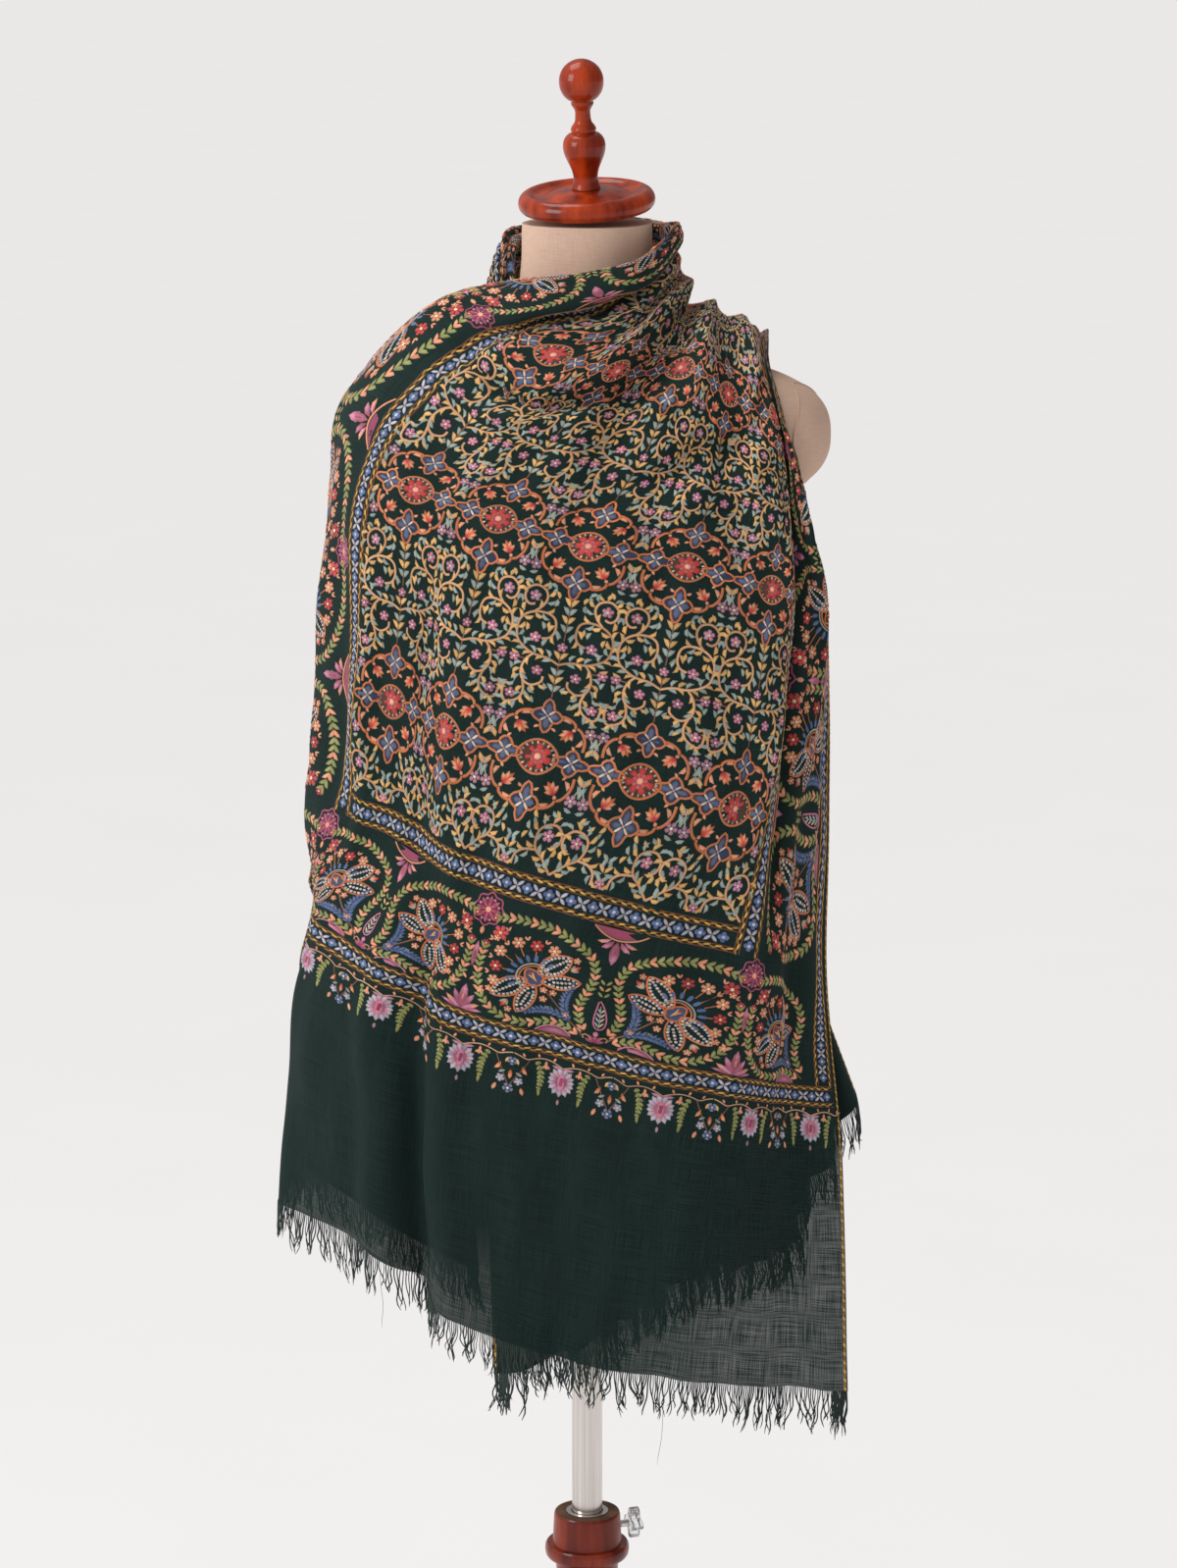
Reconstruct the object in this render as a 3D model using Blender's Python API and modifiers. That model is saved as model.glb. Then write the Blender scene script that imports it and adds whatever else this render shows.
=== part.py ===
"""Pashmina shawl hung round the neck of a limbless dress form on a turned wooden stand.

Metres, +Z up. The origin is the middle of the base's underside, on the pole's axis, and the
form faces -Y. The shawl is one long sheet: its front end is spread across the chest and round
the right arm, its middle is gathered over the left shoulder and behind the neck, and its
under end hangs in front of the form, beneath the front end.
"""

from math import cos, pi, radians, sin

import bmesh
import bpy
import numpy as np
from mathutils import Matrix, Vector

COLLECTION = "pashmina_shawl"

# Cloth, as cut.
CLOTH_WIDTH = 0.712
CLOTH_LENGTH = 2.032
FRINGE_LENGTH = 0.028
WALL = 0.0015
FRINGE_WALL = 0.0010
STRETCH_GAP = 0.0004

# The cloth's sections are laid out in axes turned about Z from the form's: "across" runs to
# the wearer's left, "depth" to the back, "height" up.
DRAPE_TURN = radians(18.0)

# Where each stretch of the cloth ends along the middle of its width, and how its end leans.
FRONT_END = 0.905
BEHIND_END = 1.285
SEAM_LEAN = -0.16

# Lines of the mesh along each stretch and across the cloth.
FRONT_ROWS = 30
BEHIND_ROWS = 10
UNDER_ROWS = 12
MESH_COLUMNS = 38
FRINGE_COLUMNS = 30
SEAM_ROW = 0.003

# Dress form.
NECK_RADIUS = 0.0507
NECK_TOP = 1.4655
FORM_BOTTOM = 0.780
FORM_SIDES = 48
ARM_REACH = 0.199
ARM_HEIGHT = 1.302
ARM_HALF_HEIGHT = 0.064
ARM_HALF_DEPTH = 0.056

# Neck cap and finial, turned in one axis that leans to the front and to the wearer's right.
CAP_LEAN_FORWARD = radians(7.5)
CAP_LEAN_SIDE = radians(-2.6)
CAP_UNDERSIDE = 1.4690
JOINT_GAP = 0.0003

# Stand.
POLE_RADIUS = 0.0128
POLE_BOTTOM = 0.340
COLLAR_TOP = 0.380
BUSHING_RADIUS = 0.0178
BUSHING_BORE = 0.0136
BUSHING_DEPTH = 0.030
COLUMN_BOTTOM = 0.030
BASE_RADIUS = 0.155
TURNED_SIDES = 28

KNOB_HEIGHT = 0.356
KNOB_RADIUS = 0.0135
KNOB_THICKNESS = 0.009
KNOB_DIRECTION = radians(38.0)
KNOB_STAND_OFF = 0.0085
SCREW_RADIUS = 0.003

COLOURS = {
    "wool": ((0.010, 0.030, 0.024, 1.0), 0.85, 0.0),
    "fringe": ((0.012, 0.034, 0.027, 1.0), 0.90, 0.0),
    "linen": ((0.60, 0.51, 0.43, 1.0), 0.90, 0.0),
    "lacquered_wood": ((0.20, 0.024, 0.012, 1.0), 0.20, 0.0),
    "steel": ((0.62, 0.61, 0.60, 1.0), 0.22, 1.0),
    "clear_plastic": ((0.80, 0.82, 0.84, 1.0), 0.10, 0.0),
}

# Half width and front and back reach of the torso at each height.
TORSO_SECTIONS = (
    # height, half_width, front, back
    (0.780, 0.146, 0.080, 0.094),
    (0.830, 0.149, 0.082, 0.098),
    (0.900, 0.140, 0.080, 0.092),
    (0.990, 0.122, 0.076, 0.072),
    (1.080, 0.136, 0.088, 0.070),
    (1.170, 0.152, 0.098, 0.074),
    (1.250, 0.158, 0.092, 0.078),
    (1.310, 0.158, 0.080, 0.076),
    (1.342, 0.150, 0.068, 0.068),
    (1.358, 0.122, 0.060, 0.060),
    (1.373, 0.088, 0.055, 0.055),
    (1.394, 0.061, 0.053, 0.053),
    (1.425, 0.0525, 0.052, 0.052),
    (1.4655, 0.0507, 0.0507, 0.0507),
)

# Sections across the cloth from its left selvedge (0) to its right selvedge (0.712). "along"
# is the distance from the front hem, at the left and at the right selvedge.
SECTIONS = (
    # name, along_left, along_right, rows of (from_left, across, depth, height)
    ("front hem", 0.000, 0.000, (
        (0.000, -0.092, 0.078, 0.564), (0.085, -0.168, 0.062, 0.612),
        (0.150, -0.228, 0.026, 0.664), (0.206, -0.254, -0.028, 0.660),
        (0.250, -0.214, -0.070, 0.656), (0.300, -0.170, -0.098, 0.640),
        (0.356, -0.126, -0.118, 0.605), (0.431, -0.061, -0.138, 0.573),
        (0.506, 0.012, -0.134, 0.551), (0.570, 0.076, -0.115, 0.540),
        (0.640, 0.146, -0.090, 0.521), (0.712, 0.216, -0.060, 0.507))),
    ("pendants", 0.205, 0.205, (
        (0.000, -0.110, 0.100, 0.780), (0.085, -0.176, 0.072, 0.815),
        (0.150, -0.220, 0.026, 0.850), (0.200, -0.234, -0.022, 0.860),
        (0.240, -0.206, -0.070, 0.852), (0.290, -0.162, -0.104, 0.838),
        (0.356, -0.110, -0.136, 0.809), (0.431, -0.035, -0.148, 0.789),
        (0.506, 0.041, -0.142, 0.766), (0.570, 0.104, -0.124, 0.751),
        (0.640, 0.158, -0.098, 0.734), (0.712, 0.208, -0.060, 0.721))),
    ("end border", 0.384, 0.384, (
        (0.000, -0.152, 0.106, 0.975), (0.060, -0.204, 0.052, 1.002),
        (0.095, -0.226, 0.006, 1.010), (0.142, -0.200, -0.050, 1.009),
        (0.206, -0.164, -0.090, 0.998), (0.281, -0.124, -0.122, 0.978),
        (0.356, -0.071, -0.142, 0.961), (0.431, 0.001, -0.150, 0.941),
        (0.506, 0.074, -0.140, 0.920), (0.570, 0.138, -0.118, 0.901),
        (0.640, 0.167, -0.092, 0.887), (0.712, 0.195, -0.050, 0.875))),
    ("first flower row", 0.477, 0.477, (
        (0.000, -0.166, 0.104, 1.062), (0.060, -0.208, 0.048, 1.086),
        (0.092, -0.221, 0.000, 1.098), (0.142, -0.190, -0.060, 1.103),
        (0.206, -0.154, -0.098, 1.095), (0.281, -0.112, -0.124, 1.077),
        (0.356, -0.039, -0.142, 1.061), (0.431, 0.040, -0.146, 1.042),
        (0.506, 0.115, -0.132, 1.017), (0.570, 0.151, -0.112, 1.004),
        (0.640, 0.176, -0.086, 0.994), (0.712, 0.196, -0.044, 0.984))),
    ("vine row", 0.567, 0.567, (
        (0.000, -0.172, 0.100, 1.146), (0.060, -0.208, 0.046, 1.170),
        (0.090, -0.214, -0.002, 1.183), (0.142, -0.186, -0.062, 1.188),
        (0.206, -0.146, -0.098, 1.180), (0.281, -0.094, -0.122, 1.161),
        (0.356, -0.020, -0.138, 1.144), (0.431, 0.058, -0.138, 1.125),
        (0.506, 0.131, -0.122, 1.104), (0.570, 0.160, -0.100, 1.092),
        (0.640, 0.183, -0.074, 1.086), (0.712, 0.195, -0.036, 1.080))),
    ("second flower row", 0.657, 0.657, (
        (0.000, -0.170, 0.104, 1.236), (0.050, -0.202, 0.064, 1.254),
        (0.090, -0.206, 0.014, 1.266), (0.142, -0.179, -0.054, 1.276),
        (0.206, -0.132, -0.094, 1.264), (0.281, -0.068, -0.122, 1.246),
        (0.356, 0.001, -0.132, 1.226), (0.431, 0.077, -0.130, 1.210),
        (0.506, 0.143, -0.117, 1.190), (0.570, 0.167, -0.102, 1.183),
        (0.640, 0.183, -0.082, 1.182), (0.712, 0.190, -0.052, 1.178))),
    ("point of the right shoulder", 0.706, 0.706, (
        (0.000, -0.162, 0.116, 1.276), (0.050, -0.194, 0.072, 1.306),
        (0.090, -0.196, 0.016, 1.324), (0.142, -0.160, -0.056, 1.322),
        (0.206, -0.110, -0.096, 1.294), (0.281, -0.046, -0.122, 1.278),
        (0.356, 0.022, -0.127, 1.261), (0.431, 0.089, -0.123, 1.245),
        (0.506, 0.148, -0.116, 1.227), (0.570, 0.164, -0.106, 1.222),
        (0.640, 0.175, -0.096, 1.220), (0.712, 0.179, -0.082, 1.219))),
    ("shoulder row", 0.747, 0.747, (
        (0.000, -0.144, 0.116, 1.314), (0.050, -0.170, 0.066, 1.352),
        (0.090, -0.148, 0.008, 1.379), (0.142, -0.126, -0.048, 1.358),
        (0.206, -0.086, -0.096, 1.321), (0.281, -0.026, -0.120, 1.307),
        (0.356, 0.043, -0.122, 1.292), (0.431, 0.100, -0.119, 1.276),
        (0.506, 0.151, -0.115, 1.261), (0.570, 0.161, -0.109, 1.260),
        (0.640, 0.168, -0.105, 1.260), (0.712, 0.171, -0.101, 1.260))),
    ("right of the neckline", 0.790, 0.790, (
        (0.000, -0.133, 0.062, 1.364), (0.050, -0.126, 0.024, 1.397),
        (0.080, -0.112, -0.010, 1.408), (0.125, -0.096, -0.048, 1.397),
        (0.160, -0.086, -0.072, 1.374), (0.206, -0.056, -0.102, 1.345),
        (0.281, -0.002, -0.113, 1.332), (0.356, 0.058, -0.111, 1.326),
        (0.431, 0.105, -0.113, 1.309), (0.506, 0.150, -0.112, 1.293),
        (0.570, 0.157, -0.108, 1.291), (0.640, 0.162, -0.105, 1.290),
        (0.712, 0.165, -0.102, 1.289))),
    ("neck flower row", 0.836, 0.836, (
        (0.000, -0.073, -0.044, 1.413), (0.050, -0.067, -0.056, 1.421),
        (0.080, -0.061, -0.070, 1.426), (0.125, -0.058, -0.090, 1.407),
        (0.169, -0.052, -0.098, 1.387), (0.206, -0.025, -0.106, 1.371),
        (0.281, 0.024, -0.106, 1.360), (0.356, 0.074, -0.098, 1.363),
        (0.431, 0.110, -0.106, 1.343), (0.506, 0.147, -0.108, 1.324),
        (0.570, 0.152, -0.104, 1.320), (0.640, 0.155, -0.101, 1.318),
        (0.712, 0.158, -0.098, 1.314))),
    ("neckline", 0.915, 0.858, (
        (0.000, 0.000, -0.060, 1.408), (0.050, 0.001, -0.066, 1.424),
        (0.080, 0.002, -0.078, 1.434), (0.125, 0.005, -0.094, 1.417),
        (0.169, 0.018, -0.092, 1.402), (0.206, 0.034, -0.087, 1.395),
        (0.281, 0.053, -0.084, 1.392), (0.356, 0.086, -0.082, 1.388),
        (0.431, 0.113, -0.089, 1.373), (0.506, 0.141, -0.094, 1.355),
        (0.570, 0.147, -0.091, 1.350), (0.640, 0.151, -0.089, 1.346),
        (0.712, 0.154, -0.087, 1.341))),
    ("left of the neckline", 0.960, 0.872, (
        (0.000, 0.034, -0.048, 1.412), (0.050, 0.036, -0.054, 1.430),
        (0.080, 0.041, -0.064, 1.443), (0.125, 0.047, -0.074, 1.429),
        (0.169, 0.053, -0.066, 1.416), (0.206, 0.054, -0.060, 1.410),
        (0.281, 0.071, -0.055, 1.411), (0.356, 0.092, -0.056, 1.402),
        (0.431, 0.114, -0.062, 1.391), (0.506, 0.138, -0.069, 1.374),
        (0.570, 0.144, -0.069, 1.369), (0.640, 0.147, -0.069, 1.365),
        (0.712, 0.150, -0.068, 1.360))),
    ("left shoulder crest", 1.005, 0.890, (
        (0.000, 0.060, -0.014, 1.424), (0.050, 0.062, -0.010, 1.446),
        (0.080, 0.067, -0.008, 1.460), (0.125, 0.072, -0.012, 1.450),
        (0.169, 0.073, -0.014, 1.438), (0.206, 0.069, -0.018, 1.422),
        (0.281, 0.083, -0.022, 1.419), (0.356, 0.099, -0.027, 1.410),
        (0.431, 0.116, -0.033, 1.402), (0.506, 0.133, -0.040, 1.392),
        (0.570, 0.139, -0.043, 1.388), (0.640, 0.143, -0.044, 1.385),
        (0.712, 0.147, -0.045, 1.382))),
    ("behind the left of the neck", 1.085, 0.975, (
        (0.000, 0.052, 0.040, 1.422), (0.080, 0.060, 0.040, 1.461),
        (0.206, 0.070, 0.050, 1.430), (0.356, 0.088, 0.062, 1.398),
        (0.506, 0.110, 0.062, 1.374), (0.712, 0.130, 0.052, 1.350))),
    ("behind the neck", 1.165, 1.070, (
        (0.000, 0.018, 0.064, 1.420), (0.080, 0.019, 0.069, 1.461),
        (0.206, 0.022, 0.086, 1.428), (0.356, 0.025, 0.104, 1.390),
        (0.506, 0.028, 0.114, 1.355), (0.712, 0.032, 0.118, 1.316))),
    ("behind the right of the neck", 1.240, 1.155, (
        (0.000, -0.042, 0.054, 1.418), (0.080, -0.046, 0.056, 1.455),
        (0.206, -0.056, 0.074, 1.427), (0.356, -0.068, 0.094, 1.396),
        (0.506, -0.080, 0.106, 1.370), (0.712, -0.092, 0.112, 1.344))),
    ("right shoulder crest", 1.300, 1.225, (
        (0.000, -0.058, 0.010, 1.424), (0.080, -0.063, 0.012, 1.444),
        (0.206, -0.071, 0.012, 1.430), (0.356, -0.080, 0.013, 1.408),
        (0.506, -0.091, 0.017, 1.390), (0.712, -0.102, 0.022, 1.377))),
    ("under end, below the neckline", 1.335, 1.268, (
        (0.000, -0.056, -0.028, 1.408), (0.080, -0.062, -0.030, 1.412),
        (0.206, -0.070, -0.030, 1.404), (0.356, -0.081, -0.028, 1.390),
        (0.506, -0.094, -0.024, 1.374), (0.712, -0.109, -0.018, 1.363))),
    ("under end, upper chest", 1.380, 1.322, (
        (0.000, -0.034, -0.070, 1.376), (0.080, -0.044, -0.071, 1.378),
        (0.206, -0.057, -0.072, 1.372), (0.356, -0.074, -0.072, 1.352),
        (0.506, -0.092, -0.068, 1.336), (0.712, -0.112, -0.062, 1.322))),
    ("under end, bust", 1.560, 1.500, (
        (0.000, 0.036, -0.112, 1.196), (0.080, 0.018, -0.114, 1.190),
        (0.206, -0.006, -0.114, 1.180), (0.356, -0.040, -0.112, 1.166),
        (0.506, -0.074, -0.104, 1.152), (0.712, -0.104, -0.092, 1.140))),
    ("under end, waist", 1.780, 1.740, (
        (0.000, 0.132, -0.088, 0.984), (0.080, 0.108, -0.098, 0.972),
        (0.206, 0.062, -0.112, 0.950), (0.356, 0.014, -0.116, 0.924),
        (0.506, -0.038, -0.112, 0.900), (0.712, -0.088, -0.098, 0.880))),
    ("under hem", 2.032, 2.032, (
        (0.000, 0.221, -0.026, 0.756), (0.050, 0.202, -0.036, 0.710),
        (0.100, 0.184, -0.046, 0.676), (0.160, 0.174, -0.058, 0.638),
        (0.250, 0.144, -0.072, 0.629), (0.356, 0.101, -0.080, 0.617),
        (0.450, 0.072, -0.090, 0.607), (0.550, 0.032, -0.088, 0.583),
        (0.630, -0.006, -0.090, 0.556), (0.712, -0.077, -0.086, 0.528))),
)

# Folds stand out from the sections or sink into them, and fade out at both ends.
FOLDS = (
    # name, half_width, rows of (along, from_left, lift)
    ("hem crease", 0.014, (
        (-0.01, 0.338, -0.022), (0.10, 0.328, -0.018), (0.25, 0.316, -0.012), (0.38, 0.300, 0.0))),
    ("ridge left of the crease", 0.020, (
        (-0.01, 0.300, 0.012), (0.14, 0.290, 0.012), (0.30, 0.268, 0.006), (0.40, 0.25, 0.0))),
    ("ridge right of the crease", 0.024, (
        (-0.01, 0.372, 0.010), (0.18, 0.352, 0.009), (0.34, 0.330, 0.0))),
    ("hem wave, middle", 0.045, (
        (-0.01, 0.470, -0.010), (0.16, 0.460, -0.006), (0.34, 0.44, 0.0))),
    ("hem wave, right", 0.034, (
        (-0.01, 0.575, 0.010), (0.20, 0.565, 0.008), (0.36, 0.560, 0.0))),
    ("trough beside the right selvedge", 0.020, (
        (-0.01, 0.668, -0.009), (0.20, 0.655, -0.010), (0.42, 0.640, -0.008), (0.50, 0.63, 0.0))),
    ("turn at the right arm", 0.022, (
        (0.30, 0.190, 0.0), (0.42, 0.172, 0.009), (0.60, 0.166, 0.009), (0.72, 0.16, 0.0))),
    ("trough inside the right arm", 0.030, (
        (0.28, 0.262, 0.0), (0.38, 0.250, -0.010), (0.52, 0.236, -0.010), (0.66, 0.22, 0.0))),
    ("valley beside the left border", 0.016, (
        (0.36, 0.594, 0.0), (0.46, 0.592, -0.016), (0.60, 0.582, -0.020), (0.72, 0.566, -0.016),
        (0.80, 0.550, -0.010), (0.86, 0.540, 0.0))),
    ("ridge inside the left border", 0.020, (
        (0.40, 0.548, 0.0), (0.52, 0.545, 0.007), (0.66, 0.535, 0.008), (0.76, 0.515, 0.0))),
    ("pleat in the left border", 0.012, (
        (0.54, 0.640, 0.0), (0.62, 0.630, 0.010), (0.74, 0.618, 0.010), (0.84, 0.606, 0.0))),
    ("tuck under the neckline", 0.014, (
        (0.74, 0.150, 0.0), (0.82, 0.160, -0.010), (0.92, 0.170, -0.012), (1.00, 0.190, -0.007),
        (1.10, 0.190, -0.006), (1.22, 0.19, 0.0))),
    ("first cowl ridge", 0.020, (
        (0.76, 0.235, 0.0), (0.84, 0.250, 0.007), (0.92, 0.262, 0.010), (1.00, 0.27, 0.010),
        (1.12, 0.27, 0.008), (1.23, 0.27, 0.0))),
    ("first cowl trough", 0.017, (
        (0.70, 0.330, 0.0), (0.80, 0.318, -0.008), (0.90, 0.318, -0.014), (1.00, 0.322, -0.014),
        (1.12, 0.322, -0.010), (1.23, 0.322, 0.0))),
    ("second gather", 0.019, (
        (0.78, 0.392, 0.0), (0.86, 0.378, 0.008), (0.94, 0.374, 0.010), (1.12, 0.374, 0.008),
        (1.23, 0.374, 0.0))),
    ("second trough", 0.016, (
        (0.70, 0.460, 0.0), (0.80, 0.440, -0.007), (0.90, 0.430, -0.008), (1.12, 0.430, -0.010),
        (1.23, 0.43, 0.0))),
    ("third gather", 0.019, (
        (0.80, 0.490, 0.0), (0.88, 0.484, 0.007), (1.12, 0.484, 0.008), (1.23, 0.484, 0.0))),
    ("third trough", 0.014, (
        (0.88, 0.540, 0.0), (0.96, 0.538, -0.009), (1.12, 0.538, -0.010), (1.22, 0.538, 0.0))),
    ("fourth gather", 0.018, (
        (0.90, 0.590, 0.0), (0.98, 0.590, 0.007), (1.12, 0.590, 0.008), (1.22, 0.590, 0.0))),
    ("fourth trough", 0.014, (
        (0.92, 0.640, 0.0), (1.00, 0.640, -0.007), (1.12, 0.640, -0.008), (1.22, 0.640, 0.0))),
    ("under end trough, inner", 0.035, (
        (1.50, 0.140, 0.0), (1.70, 0.140, -0.006), (2.04, 0.140, -0.012))),
    ("under end ridge", 0.035, (
        (1.50, 0.280, 0.0), (1.70, 0.280, 0.005), (2.04, 0.280, 0.011))),
    ("under end trough, outer", 0.035, (
        (1.50, 0.430, 0.0), (1.70, 0.430, -0.006), (2.04, 0.430, -0.012))),
    ("under end ridge, outer", 0.035, (
        (1.50, 0.580, 0.0), (1.70, 0.580, 0.005), (2.04, 0.580, 0.010))),
)

# Turned outlines, from the axis at the top to the axis at the bottom: (radius, height).
CAP_PROFILE = (
    (0.0, 0.0172), (0.012, 0.0170), (0.024, 0.0158), (0.0300, 0.0136), (0.0360, 0.0118),
    (0.0420, 0.0128), (0.0458, 0.0152), (0.0480, 0.0158), (0.0510, 0.0146), (0.0538, 0.0112),
    (0.0548, 0.0072), (0.0538, 0.0032), (0.0512, 0.0006), (0.0495, 0.0), (0.0, 0.0))
FINIAL_PROFILE = (
    (0.0, 0.1035), (0.0050, 0.1027), (0.0098, 0.1004), (0.0140, 0.0966), (0.0167, 0.0915),
    (0.0177, 0.0857), (0.0170, 0.0800), (0.0146, 0.0750), (0.0112, 0.0715), (0.0088, 0.0700),
    (0.0090, 0.0678), (0.0078, 0.0656), (0.0064, 0.0630), (0.0062, 0.0580), (0.0070, 0.0530),
    (0.0088, 0.0505), (0.0100, 0.0482), (0.0100, 0.0464), (0.0092, 0.0450), (0.0122, 0.0438),
    (0.0156, 0.0400), (0.0170, 0.0345), (0.0164, 0.0290), (0.0140, 0.0225), (0.0112, 0.0160),
    (0.0098, 0.0100), (0.0102, 0.0045), (0.0114, 0.0), (0.0, 0.0))
COLLAR_PROFILE = (
    (0.0182, 0.380), (0.0268, 0.380), (0.0276, 0.3790), (0.0280, 0.3770), (0.0290, 0.3560),
    (0.0296, 0.3530), (0.0340, 0.3526), (0.0353, 0.3505), (0.0356, 0.3470), (0.0350, 0.3430),
    (0.0334, 0.3408), (0.0275, 0.3400), (0.0268, 0.3385), (0.0262, 0.3300), (0.0262, 0.2900),
    (0.0275, 0.2780), (0.0330, 0.2620), (0.0362, 0.2380), (0.0350, 0.2080), (0.0300, 0.1720),
    (0.0252, 0.1420), (0.0232, 0.1200), (0.0240, 0.1060), (0.0300, 0.0980), (0.0310, 0.0900),
    (0.0290, 0.0840), (0.0290, 0.0600), (0.0340, 0.0480), (0.0440, 0.0400), (0.0460, 0.0303),
    (0.0, 0.0303), (0.0, 0.3497), (0.0182, 0.3497))
BASE_PROFILE = (
    (0.0, 0.0300), (0.0600, 0.0300), (0.1000, 0.0292), (0.1320, 0.0262), (0.1460, 0.0220),
    (0.1530, 0.0160), (0.1550, 0.0100), (0.1540, 0.0040), (0.1510, 0.0), (0.0, 0.0))


def smooth_through(stations, values, wanted):
    """Return the smooth curve through values at stations, read at the wanted places."""
    stations = np.asarray(stations, float)
    values = np.asarray(values, float)
    wanted = np.asarray(wanted, float)
    step = np.diff(stations)
    slope = np.diff(values, axis=0) / step[:, None]
    tangent = np.empty_like(values)
    tangent[0] = slope[0]
    tangent[-1] = slope[-1]
    before, after = step[:-1, None], step[1:, None]
    tangent[1:-1] = (slope[:-1] * after + slope[1:] * before) / (before + after)
    span = np.clip(np.searchsorted(stations, wanted, side="right") - 1, 0, len(step) - 1)
    length = step[span][:, None]
    t = (wanted - stations[span])[:, None] / length
    beyond = (wanted - np.clip(wanted, stations[0], stations[-1]))[:, None]
    t = np.clip(t, 0.0, 1.0)
    start = (1 + 2 * t) * (1 - t) ** 2 * values[span] + t * (1 - t) ** 2 * tangent[span] * length
    end = t * t * (3 - 2 * t) * values[span + 1] + t * t * (t - 1) * tangent[span + 1] * length
    edge = np.where(beyond < 0, tangent[0], tangent[-1])
    return start + end + beyond * edge


def sections_laid_out(from_left):
    """Return each section's distance along the cloth and its points, at each from_left."""
    along, points = [], []
    for _, left, right, rows in SECTIONS:
        table = np.array(rows)
        along.append(left + (right - left) * from_left / CLOTH_WIDTH)
        points.append(smooth_through(table[:, 0], table[:, 1:], from_left))
    return np.array(along), np.array(points)


def draped(from_left, along):
    """Return the base drape for a grid of from_left and along, in across, depth, height."""
    stations, points = sections_laid_out(from_left[0])
    columns = [smooth_through(stations[:, i], points[:, i], along[:, i])
               for i in range(from_left.shape[1])]
    return np.stack(columns, axis=1)


def cloth_normals(surface, from_left, along):
    """Return unit normals of a surface function, pointing to the cloth's right side."""
    step = 0.002
    across = surface(from_left + step, along) - surface(from_left - step, along)
    onward = surface(from_left, along + step) - surface(from_left, along - step)
    normal = np.cross(across, onward)
    return normal / np.linalg.norm(normal, axis=2, keepdims=True)


def fold_lift(from_left, along):
    """Return how far the folds stand out from the drape."""
    lift = np.zeros_like(from_left)
    for _, half_width, rows in FOLDS:
        table = np.array(rows)
        centre = np.interp(along, table[:, 0], table[:, 1])
        height = np.interp(along, table[:, 0], table[:, 2], left=0.0, right=0.0)
        lift += height * np.exp(-((from_left - centre) / half_width) ** 2)
    return lift


def to_form_axes(points):
    """Turn points in across, depth, height into the form's X, Y, Z."""
    across, depth, height = points[..., 0], points[..., 1], points[..., 2]
    x = across * cos(DRAPE_TURN) - depth * sin(DRAPE_TURN)
    y = across * sin(DRAPE_TURN) + depth * cos(DRAPE_TURN)
    return np.stack([x, y, height], axis=-1)


def cloth_surface(from_left, along):
    """Return the middle surface of the folded cloth, in the form's axes."""
    lift = fold_lift(from_left, along)[..., None]
    return to_form_axes(draped(from_left, along)
                        + cloth_normals(draped, from_left, along) * lift)


def stretch_ends(from_left, middle):
    """Return where a stretch ends at each from_left, for its end at the middle of the width."""
    if middle in (0.0, CLOTH_LENGTH):
        return np.full_like(from_left, middle)
    return middle + SEAM_LEAN * (from_left - CLOTH_WIDTH / 2)


def stretch_grid(start, end, rows, crowding=1.0):
    """Return from_left and along for the mesh of one stretch, its rows crowded to its start."""
    across = np.linspace(0.0, CLOTH_WIDTH, MESH_COLUMNS)
    first, last = stretch_ends(across, start), stretch_ends(across, end)
    share = np.linspace(0.0, 1.0, rows) ** crowding
    seam_row = SEAM_ROW / (end - start)
    share = np.concatenate([share[:1], share[:1] + seam_row, share[1:-1],
                            share[-1:] - seam_row, share[-1:]])[:, None]
    along = first + (last - first) * share
    return np.broadcast_to(across, along.shape), along


def make_material(name):
    colour, roughness, metallic = COLOURS[name]
    material = bpy.data.materials.new(name)
    material.use_nodes = True
    shader = material.node_tree.nodes["Principled BSDF"]
    shader.inputs["Base Color"].default_value = colour
    shader.inputs["Roughness"].default_value = roughness
    shader.inputs["Metallic"].default_value = metallic
    return material


def add_object(name, mesh, material, collection):
    thing = bpy.data.objects.new(name, mesh)
    mesh.materials.append(material)
    collection.objects.link(thing)
    return thing


def grid_mesh(name, points):
    """Return an open mesh of quads through a grid of points."""
    rows, columns = points.shape[:2]
    bm = bmesh.new()
    verts = [[bm.verts.new(points[r, c]) for c in range(columns)] for r in range(rows)]
    for r in range(rows - 1):
        for c in range(columns - 1):
            bm.faces.new((verts[r][c], verts[r][c + 1], verts[r + 1][c + 1], verts[r + 1][c]))
    mesh = bpy.data.meshes.new(name)
    bm.to_mesh(mesh)
    bm.free()
    mesh.shade_smooth()
    return mesh


def add_wall(thing, thickness):
    wall = thing.modifiers.new("wall", "SOLIDIFY")
    wall.thickness = thickness
    wall.offset = 0.0
    wall.use_even_offset = False
    return wall


def add_cloth_stretch(name, start, end, rows, material, collection, crowding=1.0):
    from_left, along = stretch_grid(start, end, rows, crowding)
    points = cloth_surface(from_left, along)
    thing = add_object(name, grid_mesh(name, points), material, collection)
    add_wall(thing, WALL)
    return thing


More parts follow.
